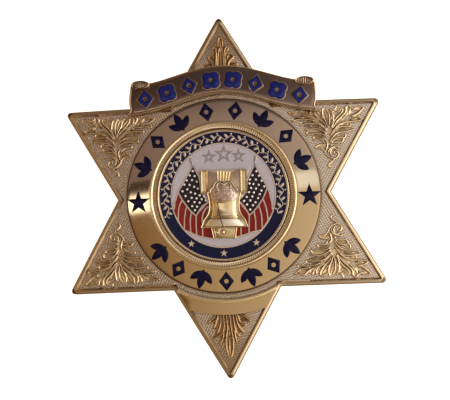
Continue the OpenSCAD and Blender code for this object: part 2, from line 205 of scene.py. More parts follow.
def layStrip(line, width, height, along, across):
    # Lays a grid along a line. height takes the distance from the middle (0 to 1) and the
    # share of the length, width only the share
    near = 0.01
    bpy.ops.mesh.primitive_grid_add(x_subdivisions=along, y_subdivisions=across, size=1)
    strip = bpy.context.object
    for vert in strip.data.vertices:
        t, s = min(1.0, max(0.0, vert.co.x + 0.5)), 2 * vert.co.y
        (x0, y0), (x1, y1) = line(max(0.0, t - near)), line(min(1.0, t + near))
        length = math.hypot(x1 - x0, y1 - y0)
        x, y = line(t)
        side = width(t) / 2 * s
        vert.co = (x - (y1 - y0) / length * side, y + (x1 - x0) / length * side,
                   height(abs(s), t))
    return strip


def thicken(sheet, low):
    # Carries a relief sheet down to a flat back
    startEdit(sheet, "FACE")
    bpy.ops.mesh.extrude_region_move()
    bpy.ops.transform.resize(value=(1, 1, 0), center_override=(0, 0, low))
    endEdit()
    return cleanNormals(sheet, 0.0001)


def halfRound(a):
    # Height of a half-round bar, 1 at its middle and 0 at its side
    return math.sqrt(max(0.0, 1 - a * a))


def wire(points, width, low, high, along=24, across=6, taper=0.0, fall=0.0):
    # A half-round line of metal through points, narrower at both ends by taper and lower at
    # its far end by fall
    strip = layStrip(pathThrough(points),
                     lambda t: width * (1 - taper * max(0.0, 1 - 4 * min(t, 1 - t))),
                     lambda a, t: low + (high - low) * halfRound(a) * (1 - fall * t),
                     along, across)
    return thicken(strip, low - 0.05)


def mirrorCopy(piece, across, up):
    twin = copyOf(piece)
    twin.data.transform(Matrix.Diagonal((across, up, 1, 1)))
    return cleanNormals(twin, 0.00001)


def gridCut(piece, reach, step):
    # Crosses a flat piece with edges, off its corners, so that it can bend
    offset = 0.37
    startEdit(piece)
    for normal in ((1, 0, 0), (0, 1, 0)):
        count = int(reach / step)
        for k in range(-count, count + 1):
            bpy.ops.mesh.select_all(action="SELECT")
            bpy.ops.mesh.bisect(plane_co=[step * (k + offset) * part for part in normal],
                                plane_no=normal)
    endEdit()


def domeHeight(x, y, rise):
    reach = dome["radius"] + rise
    return dome["ground"] - dome["radius"] + math.sqrt(reach * reach - x * x - y * y)


def bendToDome(piece):
    for vert in piece.data.vertices:
        vert.co.z = domeHeight(vert.co.x, vert.co.y, vert.co.z)
    piece.data.update()
    return piece


def dress(piece, material):
    piece.data.materials.clear()
    piece.data.materials.append(material)


def paintFaces(piece, gold, test):
    # Gives the faces that pass the test a further gold
    piece.data.materials.append(golds[gold])
    pick(piece, "FACE", test)
    piece.active_material_index = len(piece.data.materials) - 1
    bpy.ops.object.material_slot_assign()
    endEdit()


def finishPiece(name, piece, material, replaced=None, sharp=30.0):
    # Names it, makes it metres, shades it, dresses it and hangs it on the badge
    piece.name = name
    piece.scale = (millimetre,) * 3
    freeze(piece)
    bpy.ops.object.shade_smooth_by_angle(angle=math.radians(sharp))
    if material:
        dress(piece, material)
    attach(piece, "root")
    if replaced:
        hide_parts(replaced)
    print(name, len(piece.data.polygons), "faces")


# Ways of adding shader nodes

def addNode(tree, kind, values=None, **settings):
    # values sets input sockets by name or number, settings the node's own properties
    node = tree.nodes.new(kind)
    for key, value in settings.items():
        setattr(node, key, value)
    for key, value in (values or {}).items():
        if isinstance(value, bpy.types.NodeSocket):
            tree.links.new(value, node.inputs[key])
        else:
            node.inputs[key].default_value = value
    return node


def mathNode(tree, operation, first, second=0.0, clamp=False):
    return addNode(tree, "ShaderNodeMath", {0: first, 1: second}, operation=operation,
                   use_clamp=clamp).outputs[0]


def plus(tree, first, second):
    return mathNode(tree, "ADD", first, second)


def minus(tree, first, second):
    return mathNode(tree, "SUBTRACT", first, second)


def times(tree, first, second, clamp=False):
    return mathNode(tree, "MULTIPLY", first, second, clamp)


def blendColour(tree, factor, first, second, mode="MIX"):
    return addNode(tree, "ShaderNodeMix", {0: factor, 6: first, 7: second}, data_type="RGBA",
                   blend_type=mode).outputs[2]


def rangeNode(tree, value, low, high, first=0.0, second=1.0):
    return addNode(tree, "ShaderNodeMapRange", {0: value, 1: low, 2: high, 3: first, 4: second},
                   interpolation_type="SMOOTHSTEP").outputs[0]


def objectPlace(tree):
    return addNode(tree, "ShaderNodeTexCoord").outputs["Object"]


def partsOf(tree, vector):
    return addNode(tree, "ShaderNodeSeparateXYZ", {0: vector}).outputs


def axisDistance(tree, vector):
    flat = addNode(tree, "ShaderNodeVectorMath", {0: vector, 1: (1, 1, 0)},
                   operation="MULTIPLY")
    return addNode(tree, "ShaderNodeVectorMath", {0: flat.outputs[0]},
                   operation="LENGTH").outputs["Value"]


def noise(tree, place, scale, detail, roughness=0.5):
    return addNode(tree, "ShaderNodeTexNoise", {"Vector": place, "Scale": scale,
                                                "Detail": detail, "Roughness": roughness}
                   ).outputs[0]


def bump(tree, height, depth, under=None):
    values = {"Height": height, "Strength": 1.0, "Distance": depth}
    if under:
        values["Normal"] = under
    return addNode(tree, "ShaderNodeBump", values).outputs[0]


# Shared effects, each a node group of masks and heights

def newGroup(name, inputs, outputs):
    group = bpy.data.node_groups.new(name, "ShaderNodeTree")
    for title, value in inputs.items():
        socket = group.interface.new_socket(name=title, in_out="INPUT",
                                            socket_type="NodeSocketFloat")
        socket.default_value = value
    for title in outputs:
        group.interface.new_socket(name=title, in_out="OUTPUT", socket_type="NodeSocketFloat")
    return (group, group.nodes.new("NodeGroupInput").outputs,
            group.nodes.new("NodeGroupOutput").inputs)


def buildHollow():
    # Where tarnish and painted shade sit: 1 deep in a corner, 0 on open metal
    group, source, result = newGroup("tarnishAndShadeInHollows", {"Reach": 0.0005, "Strength": 1.0},
                                     ["Mask"])
    shade = addNode(group, "ShaderNodeAmbientOcclusion", {"Distance": source["Reach"]},
                    samples=8)
    closed = minus(group, 1.0, shade.outputs["AO"])
    group.links.new(times(group, closed, source["Strength"], True), result["Mask"])
    return group


def buildPolish():
    # The cloudiness of polished plate: slow smears with fine hairlines over them
    group, source, result = newGroup("polishMarks",
                                     {"Smear Scale": 120.0, "Hairline Scale": 900.0},
                                     ["Smear", "Height"])
    place = objectPlace(group)
    group.links.new(noise(group, place, source["Smear Scale"], 3.0, 0.6), result["Smear"])
    long = addNode(group, "ShaderNodeMapping", {"Vector": place, "Rotation": (0, 0, 0.5),
                                                "Scale": (1.0, 0.06, 1.0)})
    group.links.new(noise(group, long.outputs[0], source["Hairline Scale"], 2.0),
                    result["Height"])
    return group


def buildCastGrain():
    # The soft unevenness of struck relief
    group, source, result = newGroup("castGrain", {"Scale": 2500.0}, ["Height"])
    group.links.new(noise(group, objectPlace(group), source["Scale"], 3.0, 0.55),
                    result["Height"])
    return group


def buildLinen():
    # Rows of short dashes, mirrored left and right and top and bottom as on the die
    group, source, result = newGroup(
        "linenRows", {"Pitch": 0.00031, "Dash": 0.0008, "Turn": -0.4, "Row Wobble": 0.7,
                      "Dash Wobble": 0.8, "Least": 0.35}, ["Height"])
    place = objectPlace(group)
    mirrored = addNode(group, "ShaderNodeVectorMath", {0: place}, operation="ABSOLUTE")
    spun = addNode(group, "ShaderNodeVectorRotate",
                   {"Vector": mirrored.outputs[0], "Angle": source["Turn"]},
                   rotation_type="Z_AXIS")
    wobble = noise(group, place, 900.0, 1.0)
    parts = partsOf(group, spun.outputs[0])
    rows = plus(group, mathNode(group, "DIVIDE", parts["Y"], source["Pitch"]),
                times(group, wobble, source["Row Wobble"]))
    row = mathNode(group, "FLOOR", rows)
    ridge = mathNode(group, "SINE", times(group, minus(group, rows, row), math.pi))
    along = plus(group, mathNode(group, "DIVIDE", parts["X"], source["Dash"]),
                 times(group, row, 0.5))
    along = plus(group, along, times(group, wobble, source["Dash Wobble"]))
    dash = mathNode(group, "SINE", times(group, along, 2 * math.pi))
    dash = plus(group, times(group, dash, 0.5), 0.5)
    group.links.new(times(group, ridge, plus(group, dash, source["Least"])),
                    result["Height"])
    return group


effects = {"hollow": buildHollow(), "polish": buildPolish(), "grain": buildCastGrain(),
           "linen": buildLinen()}


def placeEffect(tree, name, **values):
    return addNode(tree, "ShaderNodeGroup", values, node_tree=effects[name])


# Materials

def newMaterial(name):
    material = bpy.data.materials.new(name)
    material.use_nodes = True
    tree = material.node_tree
    return material, tree, tree.nodes["Principled BSDF"].inputs


def goldMaterial(name, look):
    material, tree, shader = newMaterial(name)
    hollow = placeEffect(tree, "hollow", Reach=look["hollowReach"] * millimetre,
                         Strength=look["hollowStrength"]).outputs[0]
    polish = placeEffect(tree, "polish").outputs
    normal = bump(tree, polish["Height"], look["hairline"] * millimetre)
    tinted = blendColour(tree, polish["Smear"], look["colour"], look["warmColour"])
    if "grain" in look:
        grain = placeEffect(tree, "grain", Scale=look["grainScale"]).outputs[0]
        normal = bump(tree, grain, look["grain"] * millimetre, normal)
    if "grainColour" in look:
        tinted = blendColour(tree, rangeNode(tree, grain, 0.44, 0.58), tinted,
                             look["grainColour"])
    if "linen" in look:
        linen = placeEffect(tree, "linen").outputs[0]
        normal = bump(tree, linen, look["linen"] * millimetre, normal)
        # Raised dashes painted lighter and grooves darker: painted highlight and shade on the
        # linen
        tinted = blendColour(tree, linen, look["linenShadeColour"], look["linenHighlightColour"])
    if "greyReflectionColour" in look:
        # Painted reflection: the thin lines over the seal's sky turned grey
        place = objectPlace(tree)
        above = mathNode(tree, "GREATER_THAN", partsOf(tree, place)["Y"],
                         look["paleAbove"] * millimetre)
        inside = mathNode(tree, "LESS_THAN", axisDistance(tree, place),
                          look["paleInside"] * millimetre)
        tinted = blendColour(tree, times(tree, above, inside), tinted, look["greyReflectionColour"])
    if "endShadeTint" in look:
        # Painted shade: browner and darker toward the top and the bottom point
        away = mathNode(tree, "ABSOLUTE", partsOf(tree, objectPlace(tree))["Y"])
        ends = rangeNode(tree, away, look["endFrom"] * millimetre, look["endTo"] * millimetre)
        tinted = blendColour(tree, ends, tinted, look["endShadeTint"], "MULTIPLY")
    rough = plus(tree, plus(tree, times(tree, polish["Smear"], look["smear"]),
                            look["roughness"]), times(tree, hollow, look["hollowDull"]))
    shader["Metallic"].default_value = 1.0
    # Hollows darkened by the occlusion mask: tarnish, and painted shade in corners and under
    # relief
    tree.links.new(blendColour(tree, hollow, tinted, look["tarnishAndShadeColour"]),
                   shader["Base Color"])
    tree.links.new(rough, shader["Roughness"])
    tree.links.new(normal, shader["Normal"])
    return material


plainGold = {
    "colour": (0.86, 0.68, 0.42, 1), "warmColour": (0.82, 0.62, 0.36, 1),
    "tarnishAndShadeColour": (0.16, 0.08, 0.03, 1), "hollowReach": 0.5, "hollowStrength": 1.0,
    "hollowDull": 0.25, "roughness": 0.03, "smear": 0.03, "hairline": 0.00006,
}
goldLooks = {
    "polishedGold": {},
    "softGold": {"roughness": 0.38, "hollowStrength": 0.3},
    "shadedEdgeGold": {"roughness": 0.3, "colour": (0.2, 0.12, 0.07, 1),
                 "warmColour": (0.16, 0.09, 0.05, 1)},
    # A darker copy of the gold on the border's rounded edge: painted shade
    "shadedBorderGold": {"roughness": 0.25, "colour": (0.6, 0.48, 0.32, 1),
                   "warmColour": (0.54, 0.41, 0.26, 1)},
    # A darker copy of the gold on the inner slopes: painted shade of the step
    "shadedSlopeGold": {"roughness": 0.32, "hollowStrength": 0.5, "colour": (0.48, 0.36, 0.23, 1),
                  "warmColour": (0.42, 0.3, 0.18, 1)},
    # A pale copy of the gold on the bell's bow and crown: painted highlight
    "highlightGold": {"roughness": 0.42, "colour": (1.0, 0.92, 0.76, 1),
                   "warmColour": (1.0, 0.86, 0.64, 1)},
    "linenGold": {"roughness": 0.15, "linen": 0.028, "hollowReach": 0.6,
                  "hollowStrength": 0.9, "linenShadeColour": (0.84, 0.66, 0.47, 1),
                  "linenHighlightColour": (1.0, 0.88, 0.7, 1), "endShadeTint": (0.7, 0.6, 0.5, 1),
                  "endFrom": 26.0, "endTo": 32.0},
    # Leaves: hollows nearly black, painted shade in the gaps and under the lobes, with tarnish
    "leafGold": {"roughness": 0.12, "grain": 0.01, "grainScale": 2500.0,
                 "colour": (0.96, 0.74, 0.48, 1), "warmColour": (0.93, 0.7, 0.42, 1),
                 "tarnishAndShadeColour": (0.07, 0.03, 0.006, 1), "hollowReach": 0.6,
                 "hollowStrength": 1.9, "endShadeTint": (0.62, 0.52, 0.42, 1), "endFrom": 22.0,
                 "endTo": 25.0},
    # A dimmed copy of the gold over the whole ribbon: painted shade of its dim reflection
    "shadedRibbonGold": {"colour": (0.54, 0.39, 0.26, 1), "warmColour": (0.49, 0.34, 0.22, 1)},
    "bellGold": {"roughness": 0.12, "colour": (0.88, 0.69, 0.4, 1),
                 "warmColour": (0.84, 0.64, 0.35, 1)},
    "yokeGold": {"roughness": 0.36, "hollowStrength": 0.9, "colour": (0.8, 0.62, 0.48, 1),
                 "warmColour": (0.74, 0.56, 0.4, 1)},
    "stippledGold": {"roughness": 0.42, "grain": 0.1, "grainScale": 2600.0,
                     "grainColour": (0.5, 0.35, 0.29, 1), "colour": (0.88, 0.7, 0.57, 1),
                     "warmColour": (0.82, 0.63, 0.5, 1)},
    "fineGold": {"roughness": 0.34, "hollowStrength": 0.2, "colour": (1.0, 0.86, 0.74, 1),
                 "warmColour": (1.0, 0.8, 0.64, 1), "greyReflectionColour": (0.62, 0.55, 0.52, 1),
                 "paleAbove": 5.6, "paleInside": 10.5},
    "backGold": {"roughness": 0.2},
}
golds = {name: goldMaterial(name, {**plainGold, **look}) for name, look in goldLooks.items()}


def enamelMaterial(name, look):
    material, tree, shader = newMaterial(name)
    place = objectPlace(tree)
    cloud = noise(tree, place, 700.0, 4.0, 0.6)
    colour = blendColour(tree, cloud, look["colour"], look["deepColour"])
    if "innerColour" in look:
        # The two flags lie inside the blue ring
        inside = mathNode(tree, "LESS_THAN", axisDistance(tree, place),
                          look["innerReach"] * millimetre)
        colour = blendColour(tree, inside, colour, look["innerColour"])
    tree.links.new(colour, shader["Base Color"])
    tree.links.new(plus(tree, times(tree, cloud, look["cloud"]), look["roughness"]),
                   shader["Roughness"])
    shader["Specular IOR Level"].default_value = look["shine"]
    shader["Coat Weight"].default_value = look["coat"] * look["shine"]
    shader["Coat Roughness"].default_value = look["coatRoughness"]
    tree.links.new(bump(tree, noise(tree, place, 1500.0, 1.0), look["skin"] * millimetre),
                   shader["Normal"])
    return material


plainEnamel = {"roughness": 0.15, "cloud": 0.06, "skin": 0.002, "shine": 0.25, "coat": 0.6,
               "coatRoughness": 0.06}
enamelLooks = {
    "navyEnamel": {"colour": (0.005, 0.004, 0.022, 1), "deepColour": (0.008, 0.006, 0.036, 1),
                   "roughness": 0.12, "shine": 0.15},
    "royalEnamel": {"colour": (0.009, 0.011, 0.12, 1), "deepColour": (0.014, 0.02, 0.17, 1),
                    "roughness": 0.12},
    "sealBlue": {"colour": (0.006, 0.007, 0.03, 1), "deepColour": (0.01, 0.012, 0.05, 1),
                 "shine": 0.12, "innerColour": (0.022, 0.011, 0.013, 1),
                 "innerReach": 10.6},
    "dotWhite": {"colour": (0.95, 0.93, 0.92, 1), "deepColour": (0.9, 0.88, 0.88, 1),
                 "roughness": 0.3, "skin": 0.001},
    "sealWhite": {"colour": (0.56, 0.52, 0.57, 1), "deepColour": (0.5, 0.46, 0.5, 1),
                  "roughness": 0.2},
    "sealRed": {"colour": (0.27, 0.015, 0.009, 1), "deepColour": (0.19, 0.009, 0.006, 1),
                "shine": 0.15},
}
enamels = {name: enamelMaterial(name, {**plainEnamel, **look})
           for name, look in enamelLooks.items()}
print("materials ready")


# Star plate

star = {
    "reach": 38.0, "tipRound": 0.8, "back": -1.5,
    # (inset, height) of the border's rounded outer edge, from its foot up
    "edge": [(0.0, 0.1), (0.05, 0.19), (0.2, 0.29), (0.36, 0.36), (0.54, 0.42), (0.7, 0.45)],
    # Inset of the border's inner slope at its foot and where it would be slopeRise up
    "slopeFoot": 1.1, "slopeTop": 0.36, "slopeRise": 0.9,
    # Bare lower panel: (middle, radius) of its lower arc, radius of its upper arc at the
    # ground and how that grows with height, and the line that it stays below
    "panelLow": (1.7, 26.1), "panelTop": 21.1, "panelSlope": 0.5, "panelEnd": -17.9,
    # Heights that the panel's cutters reach from and to
    "panelCut": (-1.6, 2.4), "holeCut": (-0.2, 1.2), "endCut": (80, 50, 5),
    # Upward part of the normal on the border's edge, and where the painted dark reflection on
    # the tips begins
    "edgeFacing": (0.87, 0.999), "darkTip": 36.5, "gridStep": 2.0,
}


def starSheet(reach, height, tipRound=0.0):
    # A flat six-pointed star: a twelve-sided disc with every second corner pulled in
    bpy.ops.mesh.primitive_circle_add(vertices=12, radius=reach, fill_type="NGON",
                                      location=(0, 0, height))
    sheet = freeze()
    pick(sheet, "VERT", lambda vert: round(
        math.degrees(math.atan2(vert.co.y, vert.co.x)) - 30) % 60 == 30)
    bpy.ops.transform.resize(value=(1 / math.sqrt(3), 1 / math.sqrt(3), 1),
                             center_override=(0, 0, height))
    endEdit()
    if tipRound:
        pick(sheet, "VERT", lambda vert: fromAxis(vert.co) > 0.9 * reach)
        bpy.ops.mesh.bevel(offset=tipRound * math.sqrt(3), segments=5, affect="VERTICES")
        endEdit()
    return sheet


def raiseSheet(sheet, reach, steps):
    # Builds a solid on a star sheet, through steps of (inset from the outline, height)
    startEdit(sheet, "FACE")
    for (inset, height), (nextInset, nextHeight) in zip(steps, steps[1:]):
        bpy.ops.mesh.extrude_region_move(
            TRANSFORM_OT_translate={"value": (0, 0, nextHeight - height)})
        shrink = (reach - 2 * nextInset) / (reach - 2 * inset)
        bpy.ops.transform.resize(value=(shrink, shrink, 1), center_override=(0, 0, nextHeight))
    endEdit()
    return cleanNormals(sheet)


def makePanelCutter():
    middle, radius = star["panelLow"]
    panel = drum(radius, *star["panelCut"], (0, middle))
    low, high = star["holeCut"]
    bpy.ops.mesh.primitive_cone_add(
        vertices=192, radius1=star["panelTop"] + star["panelSlope"] * low,
        radius2=star["panelTop"] + star["panelSlope"] * high, depth=high - low,
        location=(0, 0, (low + high) / 2))
    boolean(panel, freeze())
    bpy.ops.mesh.primitive_cube_add(
        size=1, location=(0, star["panelEnd"] + star["endCut"][1] / 2, 0.4))
    bpy.context.object.scale = star["endCut"]
    return boolean(panel, freeze())


def makeStarPlate():
    reach, foot = star["reach"], star["slopeFoot"]
    plate = raiseSheet(starSheet(reach, star["back"], star["tipRound"]), reach,
                       [(0.0, star["back"])] + star["edge"])
    footReach = reach - 2 * foot
    field = raiseSheet(starSheet(footReach, 0.0), footReach,
                       [(0.0, 0.0), (star["slopeTop"] - foot, star["slopeRise"])])
    boolean(plate, boolean(field, makePanelCutter()))
    gridCut(plate, reach, star["gridStep"])
    cleanNormals(plate)
    dress(plate, golds["polishedGold"])
    wall, flat = star["edgeFacing"]

    def outward(face):
        return face.normal.x * face.center.x + face.normal.y * face.center.y

    paintFaces(plate, "linenGold",
               lambda face: abs(face.center.z) < 0.001 and face.normal.z > 0.9)
    # The rounded edge in painted shade, the outer walls and tips in painted shade and dark
    # reflection, and the inner slopes in painted shade
    paintFaces(plate, "shadedBorderGold",
               lambda face: wall <= face.normal.z < flat and outward(face) > 0.5)
    paintFaces(plate, "shadedEdgeGold",
               lambda face: outward(face) > 1 and face.normal.z > -0.5
               and (face.normal.z < wall or fromAxis(face.center) > star["darkTip"]))
    paintFaces(plate, "shadedSlopeGold", lambda face: face.normal.z > 0.3 and outward(face) < -1)
    finishPiece("star_plate", bendToDome(plate), None, "star_body")


makeStarPlate()


# Enamelled ornaments of the ring and the ribbon

ornaments = {
    # (length, width, turn, place) of each leaf
    "sprig": [(4.1, 1.6, 0.0, (0.0, 0.1)), (3.1, 1.35, -48.0, (1.15, -0.5)),
              (3.1, 1.35, 48.0, (-1.15, -0.5))],
    # (half width, half height, radius of the hole)
    "ringLozenge": (1.5, 1.95, 0.5), "ribbonLozenge": (1.5, 1.85, 0.55),
    # (distance of each petal's middle, its radius, radius of the hole)
    "quatrefoil": (1.0, 1.0, 0.5),
    "star": 2.45,
}


def lensPoints(length, width, steps=9):
    # A pointed leaf along Y, between two arcs
    radius = (length * length + width * width) / (4 * width)
    half = math.asin(length / 2 / radius)
    angles = [half * (2 * k / steps - 1) for k in range(steps + 1)]
    right = [(width / 2 - radius + radius * math.cos(a), radius * math.sin(a)) for a in angles]
    return right + [(-x, y) for x, y in reversed(right[1:-1])]


def starPoints(reach, waist=0.4):
    return [onCircle(reach * (waist if k % 2 else 1), 90 + 36 * k) for k in range(10)]


def quatrefoilPoints(shift, petal, steps=72):
    points = []
    for k in range(steps):
        a = 360 * k / steps
        b = math.radians(a % 90 - 45)
        r = shift * math.cos(b) + math.sqrt(petal * petal - (shift * math.sin(b)) ** 2)
        points.append(onCircle(r, a))
    return points


def ornamentBlock(kind, grow, low, high):
    # One ornament as an upright block, grown sideways by grow
    size = ornaments[kind]
    if kind == "sprig":
        leaves = []
        for length, width, turn, place in size:
            leaves.append(prism(lensPoints(length + 2 * grow, width + 2 * grow), low, high))
            leaves[-1].data.transform(placed(*place, turn))
        boolean(leaves[0], leaves[1], "UNION")
        return boolean(leaves[0], leaves[2], "UNION")
    if kind == "star":
        return prism(starPoints(size + 2 * grow), low, high)
    if kind == "quatrefoil":
        shift, petal, hole = size
        points = quatrefoilPoints(shift, petal + grow)
    else:
        wide, tall = [half + 1.6 * grow for half in size[:2]]
        hole = size[2]
        points = [(wide, 0), (0, tall), (-wide, 0), (0, -tall)]
    return boolean(prism(points, low, high),
                   drum(hole - grow, low - 0.5, high + 0.5, vertices=24))


def inTurn(kinds, places, grow, low, high):
    # Copies of two ornaments, each place saying (which of them, its move)
    blocks = [ornamentBlock(kind, grow, low, high) for kind in kinds]
    parts = []
    for which, move in places:
        parts.append(copyOf(blocks[which]))
        parts[-1].data.transform(move)
    for block in blocks:
        bpy.data.objects.remove(block)
    return parts


# Ring panel

ring = {
    "outer": 20.1, "inner": 13.5, "rise": 0.8, "sunk": -0.1, "steps": 240, "backAt": 16.8,
    # (radius, rise) of the lip, from its foot up
    "lip": [(20.1, 0.3), (20.1, 0.55), (20.07, 0.68), (20.0, 0.76), (19.9, 0.79),
            (19.78, 0.8)],
    "lipFoot": 19.8, "flatFrom": 19.3, "flatSteps": 5,
    # (count, step in degrees, where the middle one stands) of each row of ornaments
    "middle": 17.6, "rows": ((8, 19.5, 0.0), (7, 16.8, 180.0)), "starTurn": 2.5,
    "recess": (0.05, 0.45, 1.6), "inlay": (0.0, 0.52, 0.77), "inlaySoft": 0.05,
}


def ringOrnaments(grow, low, high):
    places = []
    for count, step, start in ring["rows"]:
        for k in range(count):
            place = k - (count - 1) / 2
            places.append((int(abs(place)) % 2, placed(0, 0, start + step * place)
                           @ placed(0, ring["middle"])))
    parts = inTurn(("ringLozenge", "sprig"), places, grow, low, high)
    for side in (-1, 1):
        parts.append(ornamentBlock("star", grow, low, high))
        place = onCircle(ring["middle"], 90 + side * (90 + ring["starTurn"]))
        parts[-1].data.transform(placed(*place))
    return joinAll(parts)


def makeRing():
    outer, inner, sunk = ring["outer"], ring["inner"], ring["sunk"]
    count = ring["flatSteps"]
    flats = [inner + (ring["flatFrom"] - inner) * k / count for k in range(count, -1, -1)]
    rises = ([(inner, sunk), (ring["backAt"], sunk), (outer, sunk)] + ring["lip"]
             + [(r, ring["rise"]) for r in flats])
    panel = lathe([(r, domeHeight(r, 0, rise)) for r, rise in rises], ring["steps"])
    boolean(panel, bendToDome(ringOrnaments(*ring["recess"])))
    dress(panel, golds["polishedGold"])
    # The lip and outer wall painted dark: a painted dark reflection in place of a bright lip
    paintFaces(panel, "shadedEdgeGold", lambda face: fromAxis(face.center) > ring["lipFoot"])
    finishPiece("ring_panel", panel, None, "star_body")
    fills = soften(ringOrnaments(*ring["inlay"]), ring["inlaySoft"])
    finishPiece("ring_fills", bendToDome(fills), enamels["navyEnamel"],
                "ring_enamel")


makeRing()


# Seal rim

rim = {
    "reeds": 190, "reedSteps": 3, "reedDepth": 0.07, "reedAbove": 6.85,
    "outside": [(13.52, 6.08), (15.1, 6.08), (15.1, 6.85), (15.06, 6.99), (14.96, 7.09),
                (14.82, 7.12), (14.68, 7.09), (14.58, 7.0), (14.54, 6.93)],
    "reeded": [(14.5, 6.94), (14.25, 6.95), (14.0, 6.95), (13.8, 6.94)],
    "bead": [(13.75, 6.82), (13.68, 6.68), (13.62, 6.66), (13.56, 6.7), (13.48, 6.77),
             (13.38, 6.79), (13.3, 6.75), (13.26, 6.66), (13.26, 6.52), (13.52, 6.52)],
    # A step in painted shade parts the reeding from the inner bead
    "step": (13.58, 13.8),
}


def makeSealRim():
    steps = rim["reeds"] * rim["reedSteps"]
    piece = lathe(rim["outside"] + rim["reeded"] + rim["bead"], steps)

    def inGroove(vert):
        turn = round(math.atan2(vert.co.y, vert.co.x) * steps / (2 * math.pi))
        return (min(abs(fromAxis(vert.co) - r) for r, _ in rim["reeded"]) < 0.005
                and vert.co.z > rim["reedAbove"] and turn % rim["reedSteps"] == 0)

    pick(piece, "VERT", inGroove)
    bpy.ops.transform.translate(value=(0, 0, -rim["reedDepth"]))
    endEdit()
    dress(piece, golds["polishedGold"])
    low, high = rim["step"]
    paintFaces(piece, "shadedEdgeGold",
               lambda face: low < fromAxis(face.center) < high and face.normal.z > 0.1)
    finishPiece("seal_bezel", piece, None, "seal_rim", 50.0)


makeSealRim()


# Leaf sprays

leaf = {
    "voxel": 0.06, "smooth": 2, "low": -0.12, "plate": 0.1, "swell": 0.1, "swellReach": 8.0,
    # (width, top, taper) of each kind of strip laid on the blade
    "ribs": (0.5, 0.42, 0.45), "scroll": (0.5, 0.42, 0.45), "veins": (0.28, 0.3, 0.4),
    "blades": (0.9, 0.18, 0.4), "fall": 0.25,
}

